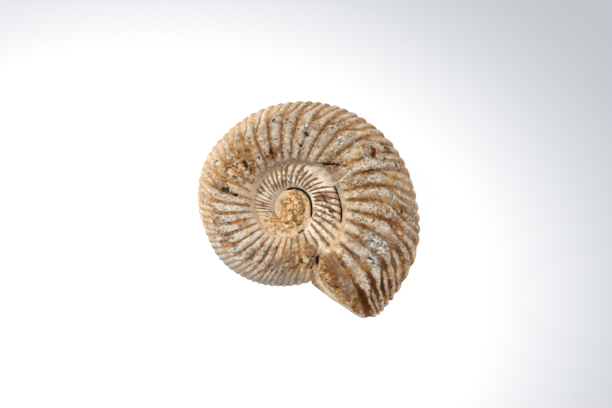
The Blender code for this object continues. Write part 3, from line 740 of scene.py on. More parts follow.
# %% A stitcher
class Stitcher:
    """Collects points, masks and triangles, and numbers the points as they come."""

    def __init__(self):
        self.points, self.masks, self.triangles, self.count = [], [], [], 0

    def add(self, points, masks):
        """Takes a grid of points with its masks, and returns the grid of their numbers."""
        self.points.append(points.reshape(-1, 3))
        self.masks.append(np.stack([masks[name].ravel() for name in MASKS], axis=-1))
        numbers = np.arange(self.count, self.count + self.points[-1].shape[0]).reshape(points.shape[:-1])
        self.count += self.points[-1].shape[0]
        return numbers

    def loft(self, grid):
        """Two triangles for each square of four neighbouring numbers, all split along the same diagonal."""
        a, b, c, d = grid[:-1, :-1], grid[1:, :-1], grid[1:, 1:], grid[:-1, 1:]
        self.triangles.append(np.stack([a, b, c], axis=-1).reshape(-1, 3))
        self.triangles.append(np.stack([a, c, d], axis=-1).reshape(-1, 3))

    def zip(self, place_a, line_a, place_b, line_b):
        """Triangles between two lines of points whose places along them rise: one for each step of either."""
        partner_b = np.searchsorted(place_b[1:], place_a[1:], "left")
        partner_a = np.searchsorted(place_a[1:], place_b[1:], "right")
        self.triangles.append(np.stack([line_a[:-1], line_a[1:], line_b[partner_b]], axis=-1))
        self.triangles.append(np.stack([line_b[1:], line_b[:-1], line_a[partner_a]], axis=-1))


stone = Stitcher()
print("the stitcher is empty:", stone.count, "points")

# %% [markdown]
# ## The last turn
# The youngest turn shows all round, so its grid runs over the whole section: from the upper seam, over the
# outer edge, to the lower seam. Its columns follow the grooves, crowded where a groove bends the surface.
# The first columns stop at the broken edge of the aperture, and the last ones end on the older turn. More
# rows go to the upper flank, which shows its relief close up.

# %% Rows and columns of the last turn
SEAM_ROWS = (0.0, 0.005, 0.010, 0.016, 0.023, 0.031)
UPPER_ROWS, LOWER_ROWS = 76, 36
COLUMNS_PER_RIB = 16
BREAK_COLUMNS, START_COLUMNS = 26, 16
LAST_GROOVE = 33.5
LOWER_SET_BACK = 5.5
BREAK_EDGE = (
    (0.38, -59.0), (0.45, -61.5), (0.49, -65.0), (0.55, -68.0), (0.62, -65.5), (0.70, -62.0), (0.80, -60.5),
    (0.88, -60.0), (0.94, -59.2), (1.00, -58.2),
)
START_AT_SEAM = -57.5 + TURN
START_AT_EDGE = -74.0 + TURN


def even_rows(count):
    """Crowded rows by the seam, and even ones beyond them up to the outer edge."""
    return np.concatenate([SEAM_ROWS[:-1], np.linspace(SEAM_ROWS[-1], 1.0, count - len(SEAM_ROWS) + 1)])


def column_numbers(first, last, per_rib):
    """Rib counts of the columns, drawn together at whole and half counts by t - sin(4 pi t) / (8 pi)."""
    steps = np.arange(round((last - first) * per_rib) + 1) / per_rib + first
    return steps - np.sin(4.0 * np.pi * steps) / (8.0 * np.pi)


upper_rows, lower_rows = even_rows(UPPER_ROWS), even_rows(LOWER_ROWS)
ways = np.concatenate([upper_rows, lower_rows[-2::-1]])
sides = np.concatenate([np.ones(len(upper_rows)), -np.ones(len(lower_rows) - 1)])
shares = share_at(0.0, ways)

numbers = column_numbers(0.0, LAST_GROOVE, COLUMNS_PER_RIB)
rib_angles = np.stack([rib_line(numbers, share) for share in shares], axis=-1)
print("rows:", len(ways), " columns along the ribs:", len(numbers))

# %% [markdown]
# The broken edge is a ragged line, so its plan is a few listed angles with noise added. Where the grid
# begins again, one turn back, the same number of columns eases from the last groove to the place where the
# aperture's rock sits on the older turn.

# %% The grid of the last turn
RAGGED, FINE_RAGGED, RAGGED_FROM_SEAM = 1.3, 0.7, 0.06
SET_BACK_RAMP, START_POWER = (1.0, 0.55), 1.5

edge_angles = np.interp(shares, [share for share, _ in BREAK_EDGE], [angle for _, angle in BREAK_EDGE])
edge_line = np.stack([shares * 30.0 * MM, ways * 30.0 * MM, sides * 9.0 * MM], axis=-1)
ragged = RAGGED * noise(edge_line, 2.0 * MM, 51) + FINE_RAGGED * noise(edge_line, 0.7 * MM, 52)
ragged *= smooth_step(0.0, RAGGED_FROM_SEAM, ways)
edge_angles = edge_angles + ragged + LOWER_SET_BACK * (sides < 0) * smooth_step(*SET_BACK_RAMP, ways)

covered_way = float(covered_from(START_AT_SEAM))
to_flank = np.clip((1.0 - ways) / (1.0 - covered_way), 0.0, 1.0) ** START_POWER
start_angles = START_AT_EDGE + (START_AT_SEAM - START_AT_EDGE) * to_flank

ease_in = np.linspace(0.0, 1.0, BREAK_COLUMNS, endpoint=False)[:, None]
ease_out = np.linspace(0.0, 1.0, START_COLUMNS + 1)[1:, None]
angles = np.concatenate([
    edge_angles + (rib_angles[0] - edge_angles) * ease_in,
    rib_angles,
    rib_angles[-1] + (start_angles - rib_angles[-1]) * ease_out,
])
points, masks = skin(angles, ways[None, :], sides[None, :])
for row in (0, len(ways) - 1):
    inside = angles[:, row] + TURN
    on_older, older_masks = skin(inside, covered_from(inside), sides[row])
    points[:, row] = on_older
    for name in MASKS:
        masks[name][:, row] = older_masks[name]
last_turn = stone.add(points, masks)
covered = int(np.searchsorted(upper_rows, covered_way))
lower_covered = len(ways) - 1 - int(np.searchsorted(lower_rows, covered_way))
last_turn[0, 0] = last_turn[-1, covered]
last_turn[0, -1] = last_turn[-1, lower_covered]
stone.loft(last_turn)
print("last turn:", last_turn.shape, "points")

# %% [markdown]
# ## The older turns
# On each flank a strip of the older turns shows, from the seam of the last turn to the knob. Its own seam
# covers it again one turn further in, so the strip winds down like a ramp, each turn ending on the one
# before. It has its own columns, because the older ribs are finer. Three zips join it: to the end of the last
# turn, to the seam above it, and to itself.

# %% The strips of the older turns
OLDER_COLUMNS_PER_RIB = {1: 10, -1: 6}
OLDER_ROWS = {1: 26, -1: 14}
CORE_COLUMNS = {1: 300, -1: 110}
LEAN_IN, LEAN_OUT = 20.0, 40.0


def loft_older_turns(side):
    """The strip on one flank: a grid of leaning columns, zipped to the last turn and to its own seam."""
    end_line = last_turn[-1, : covered + 1] if side > 0 else last_turn[-1, : lower_covered - 1 : -1]
    end_ways = upper_rows[: covered + 1] if side > 0 else lower_rows[: len(end_line)]
    seam_line = last_turn[:, 0] if side > 0 else last_turn[:, -1]
    first = math.ceil(groove_number(START_AT_SEAM))
    last = int(groove_number(RIBS_FADE_TO - 20.0))
    ribs = groove_angle(column_numbers(first, last, OLDER_COLUMNS_PER_RIB[side]))
    columns = np.concatenate([ribs, np.linspace(RIBS_FADE_TO, INNERMOST_ANGLE, CORE_COLUMNS[side])])
    fractions = np.concatenate([[0.0, 0.02], np.linspace(0.045, 0.93, OLDER_ROWS[side] - 4), [0.965, 0.985]])
    way = fractions[None, :] * covered_from(columns)[:, None]
    share = share_at(columns[:, None], way)
    leaning = smooth_step(0.0, LEAN_IN, columns - START_AT_SEAM)
    leaning = leaning * smooth_step(0.0, LEAN_OUT, RIBS_FADE_TO - columns)
    at = columns[:, None] - forward_lean(columns[:, None], share) * leaning[:, None]
    strip = stone.add(*skin(at, way, float(side)))
    stone.loft(strip)
    stone.zip(end_ways, end_line, way[0], strip[0])

    own_seam = at[:, 0] + TURN
    reached = own_seam <= INNERMOST_ANGLE
    covering_at = np.concatenate([angles[:, 0] + TURN, own_seam[reached]])
    covering = np.concatenate([seam_line, strip[reached, 0]])
    stone.zip(covering_at, covering, at[:, -1], strip[:, -1])
    left_open = np.concatenate([strip[reached, 0][-1:], strip[~reached, 0], strip[-1, 1:]])
    return strip, left_open


strips = {side: loft_older_turns(side) for side in (1, -1)}
print("older turns:", strips[1][0].shape, "points above and", strips[-1][0].shape, "below")

# %% [markdown]
# The hole left at the middle lies wholly inside the knob. Rings that shrink towards one point close it, each
# taking its height from the dome's own formula, so the sand's lumps carry on without a star of long faces.

# %% Close the middle
CAP_RINGS = {1: 22, -1: 10}
CAP_BLEND = (1.0, 0.75)

for side, (strip, left_open) in strips.items():
    border = np.concatenate(stone.points)[left_open]
    shrink = np.linspace(1.0, 0.0, CAP_RINGS[side] + 1)[1:-1, None, None]
    middle = border[:, :2].mean(axis=0)
    plan = middle + (border[None, :, :2] - middle) * shrink
    blend = smooth_step(*CAP_BLEND, shrink[..., 0])
    height = side * (knob_height(plan) * blend + side * border[None, :, 2] * (1.0 - blend))
    blank = {name: np.zeros(height.shape) for name in MASKS}
    # Painted shade darkens the holes in the cap's sand.
    blank.update(ochre=np.ones(height.shape), stain=HOLE_SHADE * sand_holes(plan))
    rings = stone.add(np.concatenate([plan, height[..., None]], axis=-1), blank)
    rings = np.concatenate([left_open[None, :], rings])
    stone.loft(np.concatenate([rings, rings[:, :1]], axis=1))
    top = np.array([[middle[0], middle[1], side * knob_height(middle[None, :])[0]]])
    centre = int(stone.add(top, {name: blank[name][:1, 0] for name in MASKS})[0])
    last_ring = np.append(rings[-1], rings[-1, 0])
    centres = np.full(len(last_ring) - 1, centre)
    stone.triangles.append(np.stack([centres, last_ring[:-1], last_ring[1:]], axis=-1))
print("closed with", len(left_open), "columns below")

# %% [markdown]
# ## The broken aperture
# The animal's living chamber broke off long ago, and rock fills what is left of the tube. The face is a sheet
# between two lines: the ragged edge of the shell, and the line where the rock sits on the older turn. Each
# row is a blend of the two, pushed out of the tube by a bulge and by coarse noise, because rock breaks in
# lumps and ledges and not in planes.

# %% The rock in the aperture
FACE_ROWS = 26
FACE_BULGE, FACE_LUMP, LEDGE_SHARE, HOLE_DEPTH = 0.55 * MM, 0.50 * MM, 0.35, 0.60 * MM
CREAM_BELOW, ROCKY_ABOVE, CREAM_RAMP = 3.8 * MM, 5.6 * MM, (-4.0 * MM, 1.0 * MM)
PALE_RAMP, TIP_RAMP = (23.5 * MM, 19.0 * MM), (17.4 * MM, 15.8 * MM)
LIP_RISE, LIP_AT, LIP_HALF, LIP_HALF_HIGH = 0.80 * MM, 20.6 * MM, 3.0 * MM, 3.5 * MM
# The last two ramps place the painted shade along the lip.
LIP_SHADE_HIGH, LIP_SHADE_OUT = (4.4 * MM, 1.0 * MM), (25.5 * MM, 22.0 * MM)


def resample(line, place):
    """Points of an open line at shares of its length in steps, by straight interpolation."""
    own = np.linspace(0.0, 1.0, len(line))
    return np.stack([np.interp(place, own, line[:, k]) for k in range(3)], axis=-1)


all_points = np.concatenate(stone.points)
rim = last_turn[0]
root = last_turn[-1, covered : lower_covered + 1]
place = np.linspace(0.0, 1.0, len(rim))
rings = np.linspace(0.0, 1.0, FACE_ROWS + 1)[1:-1, None, None]
flat_face = all_points[rim] * (1.0 - rings) + resample(all_points[root], place) * rings
height = flat_face[..., 2]
from_axis = np.linalg.norm(flat_face[..., :2], axis=-1)
print("the face is", round(float(np.ptp(from_axis)) / MM, 1), "mm from its inner to its outer end")

# %% [markdown]
# Lumps, ledges, the holes of fallen grains and a low lip along the lower edge all move the sheet in one
# direction, straight out of the tube, and fade to nothing at its rim. The upper part is crumbling sandstone,
# and the lower part is smooth and cream, partly painted light, down to the lip. Painted shade browns the lip
# and darkens the holes.

# %% Lumps, ledges and a lip
forward = math.radians(APERTURE_ANGLE - 90.0)
outward = np.array([math.cos(forward), math.sin(forward), 0.0])
ends = (np.sin(np.pi * rings[..., 0]) * np.sin(np.pi * place)) ** 0.35
lumps = layered_noise(flat_face, 2.6 * MM, 61, 4)
ledges = np.round(3.0 * noise(flat_face, 3.5 * MM, 62)) / 3.0
crumbly = smooth_step(CREAM_BELOW, ROCKY_ABOVE, height + 1.5 * MM * noise(flat_face, 2.0 * MM, 63))
holes = smooth_step(0.16, 0.42, noise(flat_face, 1.0 * MM, 64)) * crumbly
push = FACE_BULGE * np.sin(np.pi * rings[..., 0]) + FACE_LUMP * (lumps + LEDGE_SHARE * ledges)
push = push - HOLE_DEPTH * holes
push = push + LIP_RISE * bell(from_axis - LIP_AT, LIP_HALF) * bell(height, LIP_HALF_HIGH)
face_points = flat_face + (push * ends)[..., None] * outward

# Painted shade along the lip, under the face's lower edge.
lip_shade = smooth_step(*LIP_SHADE_HIGH, height) * smooth_step(*LIP_SHADE_OUT, from_axis)
cream = (1.0 - crumbly) * smooth_step(*CREAM_RAMP, height) * (1.0 - lip_shade)
pale_end = smooth_step(*PALE_RAMP, from_axis) * crumbly
tip = smooth_step(*TIP_RAMP, from_axis)
holes = holes * (1.0 - 0.6 * pale_end)
face_masks = {name: np.zeros(face_points.shape[:-1]) for name in MASKS}
# Painted shade: the face's holes take the pit and cave colours, and the lip the dull and stain colours; the
# cream is partly painted light.
face_masks.update(
    ochre=(0.85 - 0.35 * pale_end) * crumbly, stain=np.maximum((0.55 - 0.25 * pale_end) * crumbly, 0.8 * lip_shade),
    dull=lip_shade, cave=0.42 * holes, pit=0.52 * holes,
    bleached=cream, chalk=0.30 * cream + 0.22 * pale_end + 0.40 * tip,
)
face = stone.add(face_points[:, 1:-1], {name: mask[:, 1:-1] for name, mask in face_masks.items()})
ends_column = np.ones((len(face), 1), int)
face = np.concatenate([rim[:1] * ends_column, face, rim[-1:] * ends_column], axis=1)
stone.loft(np.concatenate([rim[None, :], face]))
stone.zip(place, face[-1], np.linspace(0.0, 1.0, len(root)), root)
print("aperture face:", face.shape, "points")

# %% [markdown]
# ## Lay it down
# The coil is heavier on its widest side and rests on three places of its lower flank, so its axis leans a
# little. The lean turns every point about a level line, and what would sink into the table is worn flat.

# %% Place the points
LEAN_TOWARDS, LEAN = 128.0, 3.2
TOP_PERCENT = 99.97


def lay_down(points):
    """Turns points about a level axis by the lean (Rodrigues' formula), and shifts them onto the ground."""
    line = math.radians(LEAN_TOWARDS + 90.0)
    axis = np.array([math.cos(line), math.sin(line), 0.0])
    c, s = math.cos(math.radians(LEAN)), math.sin(math.radians(LEAN))
    turned = points * c + np.cross(axis, points) * s + axis * (points @ axis)[:, None] * (1.0 - c)
    return turned + np.array([*AXIS_AT, 0.0])


placed = lay_down(np.concatenate(stone.points))
placed[:, 2] += node_high[2] - np.percentile(placed[:, 2], TOP_PERCENT)
sunk = placed[:, 2] < 0.0
placed[:, 2] = np.maximum(placed[:, 2], 0.0)
print("the stone's box in mm:", (placed.min(0) / MM).round(2), (placed.max(0) / MM).round(2))
print("the solid's box in mm:", (np.array(node_low) / MM).round(2), (np.array(node_high) / MM).round(2))
print("points on the ground:", int(sunk.sum()))

# %% [markdown]
# ## Make the mesh
# The arrays go into a Blender mesh in a few calls. Triangles with two equal corners, left by the shared
# points, are dropped, and points no triangle uses go with them. The masks become attributes of the mesh, so
# the finish can read them at any point of the surface.

# %% The ammonite's mesh
def build_mesh(name, points, triangles, masks):
    """A mesh of these triangles, its unused points left out, with one float attribute for each mask."""
    a, b, c = triangles.T
    triangles = triangles[(a != b) & (b != c) & (a != c)]
    used = np.unique(triangles)
    renumber = np.zeros(len(points), int)
    renumber[used] = np.arange(len(used))
    mesh = bpy.data.meshes.new(name)
    mesh.vertices.add(len(used))
    mesh.vertices.foreach_set("co", points[used].astype(np.float32).ravel())
    mesh.loops.add(triangles.size)
    mesh.loops.foreach_set("vertex_index", renumber[triangles].ravel().astype(np.int32))
    mesh.polygons.add(len(triangles))
    mesh.polygons.foreach_set("loop_start", np.arange(0, triangles.size, 3, dtype=np.int32))
    mesh.update(calc_edges=True)
    for column, mask in enumerate(MASKS):
        attribute = mesh.attributes.new(mask, "FLOAT", "POINT")
        attribute.data.foreach_set("value", masks[used, column].astype(np.float32))
    return mesh


mesh = build_mesh("ammonite_stone", placed, np.concatenate(stone.triangles), np.concatenate(stone.masks))
print(len(mesh.vertices), "points and", len(MASKS), "masks")

# %% [markdown]
# A stone is closed, so every edge of its mesh has to join exactly two triangles, and all of them have to face
# outwards. Blender can turn them the right way round, count the open edges and measure the volume.

# %% The stone in the frame
bm = bmesh.new()
bm.from_mesh(mesh)
bmesh.ops.recalc_face_normals(bm, faces=bm.faces)
open_edges = sum(1 for e in bm.edges if not e.is_manifold)
volume = bm.calc_volume(signed=True)
bm.to_mesh(mesh)
bm.free()
mesh.shade_smooth()
ammonite = bpy.data.objects.new("ammonite_stone", mesh)
bpy.context.scene.collection.objects.link(ammonite)
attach(ammonite, "root")
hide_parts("ammonite")
print(len(mesh.polygons), "triangles,", open_edges, "open edges,", round(volume * 1e9), "cubic mm")

# %% [markdown]
# ## The finish
# Up close the stone is a mixture: beige limestone and cream calcite on the ribs, orange rust in the grooves,
# crystals, sand and stains in patches. Some of the colours are painted light and shade: highlights on the rib
# crests and on parts of the outer edge, and shade in the groove bottoms, pits, holes and cracks, along the
# top seam and the face's lip, and where the outer edge turns under. A painted picture could show all that,
# but it would blur when the eye comes near. So the colours are mixed by nodes, from noise at real sizes in
# metres and from the masks on the mesh.
# Every colour has a name here, in red, green and blue from 0 to 255.

# %% The palette
# Painted light and shade in the palette: the pale crest colour, the dark groove bottom, the near-black pit
# and crack colours, part of the pale edge colours, the grey of the lower edge and part of the brown stain.
PALETTE = {
    "beige": (172, 150, 120), "warm beige": (184, 146, 102), "cream spot": (216, 194, 163),
    "brown spot": (132, 92, 52), "older shell": (248, 236, 216), "cool shell": (196, 191, 181),
    "dull shell": (158, 134, 108), "growth line": (132, 106, 82), "bleached shell": (224, 200, 172),
    "grey spot": (182, 174, 162), "rib crest": (241, 234, 220), "pale grain": (232, 218, 198),
    "dark grain": (84, 60, 36), "cool grain": (222, 227, 230),
    "orange rust": (186, 117, 40), "brown rust": (118, 70, 20), "older rust": (146, 104, 60),
    "deep rust": (86, 50, 20), "dull rust": (146, 98, 52), "groove bottom shade": (78, 48, 24),
    "bleached rust": (208, 168, 120), "golden rust": (204, 138, 48), "pale rust grain": (218, 180, 134),
    "dark rust grain": (70, 42, 18), "bleached flake": (226, 206, 180), "cream wall": (236, 210, 176),
    "slate_and_shade": (150, 146, 138), "rust patch": (98, 50, 12), "sand": (194, 145, 76),
    "pale sand": (230, 192, 136), "brown sand": (128, 84, 36), "white sand": (240, 224, 198),
    "brown stain and shade": (134, 84, 36), "dark speck": (50, 32, 16), "smooth shell": (122, 92, 68),
    "orange shell": (158, 104, 54), "shell streak": (100, 68, 40), "pale shell": (196, 170, 140),
    "grey crystal": (146, 140, 130), "white crystal": (220, 214, 202), "dark crystal": (70, 64, 58),
    "seam": (220, 198, 166), "chalk": (228, 219, 204), "dirty chalk": (184, 164, 138), "cave": (100, 58, 16),
    "pit": (46, 36, 28), "crevice": (34, 26, 20), "crack shade brown": (112, 84, 56),
    "table": (120, 122, 126), "glow": (255, 255, 255), "rim of the glow": (156, 160, 165),
}
print(len(PALETTE), "colours")

# %% [markdown]
# The node tree grows by a few short words. The last one, coats, reads like a recipe: each line is a colour
# and what its share is made of, such as a mask of the mesh, patches of noise with their size in millimetres
# and their two limits, or a plain number, all multiplied.

# %% Words for the node tree
def tint(name):
    """Linear colour from the palette's sRGB one: each channel is ((c + 0.055) / 1.055) to the power 2.4."""
    channels = np.array(PALETTE[name]) / 255.0
    linear = np.where(channels <= 0.04045, channels / 12.92, ((channels + 0.055) / 1.055) ** 2.4)
    return (*linear.tolist(), 1.0)


class Finish:
    """A material whose nodes are added by name, each method returning the socket that holds its result."""

    def __init__(self, name):
        self.material = bpy.data.materials.new(name)
        self.material.use_nodes = True
        self.nodes, self.links = self.material.node_tree.nodes, self.material.node_tree.links
        self.shader = self.nodes["Principled BSDF"]
        self.place = self.nodes.new("ShaderNodeTexCoord").outputs["Object"]

    def read(self, value):
        """A name is a mask of the mesh, a tuple is patches of noise, and anything else stays as it is."""
        if isinstance(value, str):
            return self.mask(value)
        if isinstance(value, tuple):
            return self.patches(*value)
        return value

    def feed(self, socket, value):
        """Links a socket to another, or sets its value."""
        if isinstance(value, bpy.types.NodeSocket):
            self.links.new(value, socket)
        else:
            socket.default_value = value

    def mask(self, name):
        """The mesh attribute of that name."""
        node = self.nodes.new("ShaderNodeAttribute")
        node.attribute_name = name
        return node.outputs["Fac"]

    def cloud(self, size, detail=2.0):
        """Noise whose features are about this size in metres, mostly between 0.3 and 0.7."""
        node = self.nodes.new("ShaderNodeTexNoise")
        node.inputs["Scale"].default_value = 0.55 / size
        node.inputs["Detail"].default_value = detail
        self.links.new(self.place, node.inputs["Vector"])
        return node.outputs["Fac"]

    def step(self, value, low, high):
        """0 below low, 1 above high and smooth between."""
        node = self.nodes.new("ShaderNodeMapRange")
        node.interpolation_type = "SMOOTHSTEP"
        self.feed(node.inputs["Value"], self.read(value))
        node.inputs["From Min"].default_value = low
        node.inputs["From Max"].default_value = high
        return node.outputs["Result"]

    def patches(self, size_mm, low, high, detail=2.0):
        """Patches of about this size in mm: 0 where the noise is below low, and 1 where it is above high."""
        return self.step(self.cloud(size_mm * MM, detail), low, high)

    def math(self, operation, a, b):
        """One operation on two values or sockets."""
        node = self.nodes.new("ShaderNodeMath")
        node.operation = operation
        self.feed(node.inputs[0], a)
        self.feed(node.inputs[1], b)
        return node.outputs[0]

    def product(self, *values):
        """All the values multiplied."""
        total, *others = [self.read(value) for value in values]
        for value in others:
            total = self.math("MULTIPLY", total, value)
        return total

    def plus(self, start, *values):
        """The start plus the product of the values."""
        return self.math("ADD", self.read(start), self.product(*values))

    def waver(self, size_mm):
        """Noise of about this size in mm, centred on zero."""
        return self.math("SUBTRACT", self.cloud(size_mm * MM), 0.5)

    def mix(self, a, b, share):
        """Colour a where share is 0, and colour b where it is 1."""
        node = self.nodes.new("ShaderNodeMix")
        node.data_type = "RGBA"
        self.feed(node.inputs["Factor"], share)
        self.feed(node.inputs[6], a)
        self.feed(node.inputs[7], b)
        return node.outputs[2]

    def coats(self, under, *coats):
        """Lays coats over a colour: each is a palette name or a socket, and the parts of its share."""
        for colour, *parts in coats:
            over = tint(colour) if isinstance(colour, str) else colour
            under = self.mix(under, over, self.product(*parts))
        return under


print("a warm beige in linear light:", [round(c, 3) for c in tint("beige")])

# %% [markdown]
# The ribs are a mottled beige. On the older turns, which lay buried longer, the shell is paler, and fine
# growth lines run along every rib. Along the outer edge a paler coat is partly bleached shell and partly
# painted light, and a painted highlight lightens the crest of each rib. Grains of white calcite and dark
# mineral under half a millimetre across are sprinkled over all of it.

# %% The ribs
finish = Finish("fossil_stone")
streaks = finish.step("streak", 0.05, 0.75)
pale_grains = finish.patches(0.42, 0.54, 0.64, 1.0)
dark_grains = finish.patches(0.32, 0.56, 0.65, 1.0)
ribs = finish.coats(
    tint("beige"),
    ("warm beige", (2.4, 0.42, 0.58)),
    ("cream spot", (1.2, 0.50, 0.66), 0.75),
    ("brown spot", (1.3, 0.51, 0.66, 4.0), 0.75),
    ("older shell", "older", (1.5, 0.20, 0.50), 0.94),
    ("cool shell", "cool", 0.55),
    ("dull shell", "dull", 0.62),
    ("growth line", streaks, 0.45),
    # Partly bleached shell and partly painted light along the outer edge.
    ("bleached shell", "bleached", 0.44),
    ("grey spot", (2.1, 0.50, 0.62, 3.0), 0.40),
    # Painted highlight on the rib crests, in patches.
    ("rib crest", finish.step("crest", 0.45, 1.00), (1.6, 0.36, 0.58), 0.42),
    ("pale grain", pale_grains, 0.48),
    ("dark grain", dark_grains, finish.plus(0.22, (2.6, 0.42, 0.60), 0.62)),
    ("cool grain", "cool", (0.60, 0.56, 0.64, 1.0), 0.6),
)
print("nodes so far:", len(finish.nodes))

# %% [markdown]
# The rust lies wherever the groove mask is high. Its edge is broken up by noise of three sizes, so that it
# looks soaked in and not painted. Painted shade makes it darkest along the bottom of the groove; it is pale
# where the edge of the shell is bleached and painted lighter, and golden where the grooves run through sandy
# patches. The cream of the walls by the seams lets the grooves show through.

# %% The grooves
rust_colour = finish.coats(
    tint("orange rust"),
    ("brown rust", (1.5, 0.38, 0.60)),
    ("older rust", "older", 0.7),
    ("deep rust", (0.7, 0.50, 0.64), 0.6),
    ("dull rust", "dull", 0.35),
    # Painted shade along the bottom of each groove, stronger on the youngest half turn.
    ("groove bottom shade", finish.step("groove", 0.60, 1.00), finish.plus(0.15, "dull", 0.45)),
    # Pale rust where the outer edge is partly bleached and partly painted light.
    ("bleached rust", "bleached", 0.85),
    ("golden rust", "ochre", 0.70),
    ("pale rust grain", pale_grains, 0.35),
    ("dark rust grain", dark_grains, 0.45),
)
frayed = finish.plus("groove", finish.waver(0.9), 1.1)
frayed = finish.plus(frayed, finish.waver(2.4), 0.9)
frayed = finish.plus(frayed, "older", finish.plus(0.10, finish.waver(1.9), 1.5))
frayed = finish.plus(frayed, "cool", 0.05)
frayed = finish.plus(frayed, "groove", "ochre", 0.5)
in_groove = finish.step(frayed, 0.20, 0.56)
look = finish.coats(
    ribs,
    (rust_colour, in_groove, 0.92),
    # Pale flakes where the outer edge is partly bleached and partly painted light.
    ("bleached flake", "bleached", (1.3, 0.40, 0.60), 0.30),
    ("cream wall", "cream", (1.6, 0.28, 0.50), 0.88, finish.plus(1.0, in_groove, -0.55)),
)
print("nodes so far:", len(finish.nodes))

# %% [markdown]
# The patches come next, in the order in which they lie on each other: grey slate with the painted blue-grey
# shade where the edge turns under, deep rust, sand, brown stain with painted shade in the holes, along the
# top seam and on the lip, and dark specks, the smooth last piece of shell, calcite crystals, the pale seam
# and chalk, and at last the caves, pits and open cracks, which are nearly black; in the pits, slits and
# cracks that black is painted shade. Where a groove runs through a patch, less of it shows.

# %% Patches, cracks and pits
sand = finish.coats(
    tint("sand"),
    ("pale sand", (0.70, 0.40, 0.60)),
    ("brown sand", (0.46, 0.50, 0.62, 3.0), 0.80),
    ("white sand", (0.52, 0.53, 0.65, 3.0), 0.78),
)
smooth_shell = finish.coats(
    tint("smooth shell"),
    ("orange shell", (0.9, 0.42, 0.60, 3.0)),
    ("shell streak", streaks, 0.6),
    ("pale shell", (0.9, 0.56, 0.66, 3.0), 0.35),
)
crystals = finish.coats(
    tint("grey crystal"),
    ("white crystal", (0.50, 0.44, 0.58, 1.0)),
    ("dark crystal", (0.40, 0.555, 0.615, 1.0)),
)
chalky = finish.coats(tint("chalk"), ("dirty chalk", (1.1, 0.42, 0.60, 3.0), 0.80))
# Painted shade for the open cracks: nearly black, with a little brown in patches.
crack_shade = finish.coats(tint("crevice"), ("crack shade brown", (1.2, 0.50, 0.64)))
look = finish.coats(
    look,
    # Painted blue-grey shade where the outer edge turns under, and grey slate on the flank.
    ("slate_and_shade", "slate_and_shade", (1.8, 0.30, 0.56), 0.72),
    ("rust patch", "rust", finish.step(frayed, 0.05, 0.45), 0.90),
    (sand, "ochre", finish.plus(0.92, in_groove, -0.62)),
    # Real brown stain, and painted shade where the stain mask carries it: the sand's holes, the top seam and
    # the face's lip.
    ("brown stain and shade", "stain", (1.1, 0.42, 0.58, 3.0), 0.88, finish.plus(1.0, in_groove, -0.6)),
    ("dark speck", "stain", (0.5, 0.56, 0.62, 1.0), 0.88),
    (smooth_shell, "shell", finish.plus(1.0, in_groove, -1.0), 0.93),
    (crystals, "calcite", (1.3, 0.34, 0.52), finish.plus(1.0, in_groove, -0.5)),
    ("seam", finish.step("seam", 0.30, 0.90), (1.0, 0.36, 0.60), 0.62),
    (chalky, finish.step("chalk", 0.10, 0.55), 0.92),
    ("cave", finish.step("cave", 0.18, 0.60), 0.95),
    # Painted shade: the pits and slits are painted nearly black.
    ("pit", finish.step("pit", 0.30, 0.65), 0.95),
    # Painted shade in the open cracks, as strong as the crack is deep.
    (crack_shade, finish.step("crevice", 0.30, 0.75), 0.95),
)
finish.feed(finish.shader.inputs["Base Color"], look)
finish.shader.inputs["Roughness"].default_value = 0.65
finish.feed(finish.shader.inputs["Specular IOR Level"], finish.plus(0.10, "calcite", 0.45))
print("nodes in the finish:", len(finish.nodes))

# %% [markdown]
# A fine bump adds the grit that is too small for the mesh. It is kept shallow, a few hundredths of a
# millimetre, because everything larger is already in the shape.

# %% Fine grit
bump = finish.nodes.new("ShaderNodeBump")
bump.inputs["Distance"].default_value = 0.09 * MM
bump.inputs["Strength"].default_value = 0.6
finish.feed(bump.inputs["Height"], finish.cloud(0.30 * MM, 3.0))
finish.feed(finish.shader.inputs["Normal"], bump.outputs["Normal"])
mesh.materials.append(finish.material)
print("finish on", ammonite.name)

# %% [markdown]
# ## The table
# The stone lies on a table that glows, so hardly any shadow shows. The floor is pale and gives off light of
# its own, which fades away from a bright oval in the middle. A white backdrop under strong lamps would look
# much the same, but then every change to a lamp would change the backdrop too.

# %% The floor
FLOOR_HALF = 2.0
floor_corners = [(x * FLOOR_HALF, y * FLOOR_HALF, 0.0) for x, y in ((-1, -1), (1, -1), (1, 1), (-1, 1))]
floor_mesh = bpy.data.meshes.new("floor")
floor_mesh.from_pydata(floor_corners, [], [(0, 1, 2, 3)])
floor = bpy.data.objects.new("floor", floor_mesh)
bpy.context.scene.collection.objects.link(floor)
table = Finish("pale_table")
table.shader.inputs["Base Color"].default_value = tint("table")
table.shader.inputs["Roughness"].default_value = 0.8
table.shader.inputs["Specular IOR Level"].default_value = 0.1
GLOW_MIDDLE = (-0.040, -0.022, 0.0)
GLOW_REACH = (0.162, 0.120, 1.0)
shift = table.nodes.new("ShaderNodeMapping")
shift.vector_type = "TEXTURE"
shift.inputs["Location"].default_value = GLOW_MIDDLE
shift.inputs["Scale"].default_value = GLOW_REACH
table.links.new(table.place, shift.inputs["Vector"])
away = table.nodes.new("ShaderNodeVectorMath")
away.operation = "LENGTH"
table.links.new(shift.outputs["Vector"], away.inputs[0])
glow = table.mix(tint("glow"), tint("rim of the glow"), table.step(away.outputs["Value"], 0.25, 1.0))
table.feed(table.shader.inputs["Emission Color"], glow)
table.shader.inputs["Emission Strength"].default_value = 1.05
floor_mesh.materials.append(table.material)
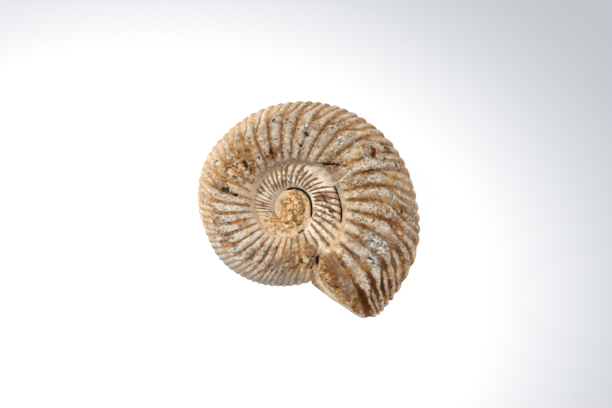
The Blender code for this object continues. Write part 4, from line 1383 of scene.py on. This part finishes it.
print("floor", 2 * FLOOR_HALF, "m wide")

# %% [markdown]
# ## The light
# Relief shows only when light comes from one side more than from the others. A large soft lamp high on the
# upper left draws the ribs, a weaker one on the lower right opens up the shadows, and a pale sky fills in
# from all round. Bigger lamps give softer edges to a shadow, and these are five to seven times as wide as
# the stone.

# %% The light
world = bpy.data.worlds.new("studio")
bpy.context.scene.world = world
world.use_nodes = True
world.node_tree.nodes["Background"].inputs["Color"].default_value = (0.97, 0.97, 0.98, 1.0)
world.node_tree.nodes["Background"].inputs["Strength"].default_value = 0.565


def soft_lamp(name, place, size, watts, colour):
    """A square area lamp at a place in metres, turned to face the stone."""
    lamp = bpy.data.lights.new(name, "AREA")
    lamp.energy, lamp.size, lamp.color = watts, size, colour
    holder = bpy.data.objects.new(name, lamp)
    bpy.context.scene.collection.objects.link(holder)
    holder.location = place
    aim = Vector((0.0, 0.0, 0.01)) - holder.location
    holder.rotation_euler = aim.to_track_quat("-Z", "Y").to_euler()


soft_lamp("main_softbox", (-0.44, 0.31, 0.43), 0.30, 3.70, (1.0, 0.95, 0.86))
soft_lamp("fill_softbox", (0.42, -0.26, 0.22), 0.40, 0.85, (1.0, 0.98, 0.95))

# %% [markdown]
# ## The camera
# The camera looks almost straight down, eight degrees off the vertical, so a little of the near side shows. A
# long lens from half a metre away keeps the far and near edges of the coil at nearly the same scale, which a
# short lens from close by would not.

# %% The camera
ELEVATION = 82.0
DISTANCE = 0.457
TARGET = Vector((-0.61 * MM, 1.03 * MM, 9.0 * MM))
camera_data = bpy.data.cameras.new("camera")
camera_data.lens = 100.0
camera = bpy.data.objects.new("camera", camera_data)
bpy.context.scene.collection.objects.link(camera)
raised = math.radians(ELEVATION)
back = Vector((0.0, -math.cos(raised), math.sin(raised)))
camera.location = TARGET + back * DISTANCE
camera.rotation_euler = (-back).to_track_quat("-Z", "Y").to_euler()
bpy.context.scene.camera = camera
bpy.context.scene.view_settings.view_transform = "Standard"
print("the camera stands", round((camera.location - TARGET).length / MM), "mm from the stone")
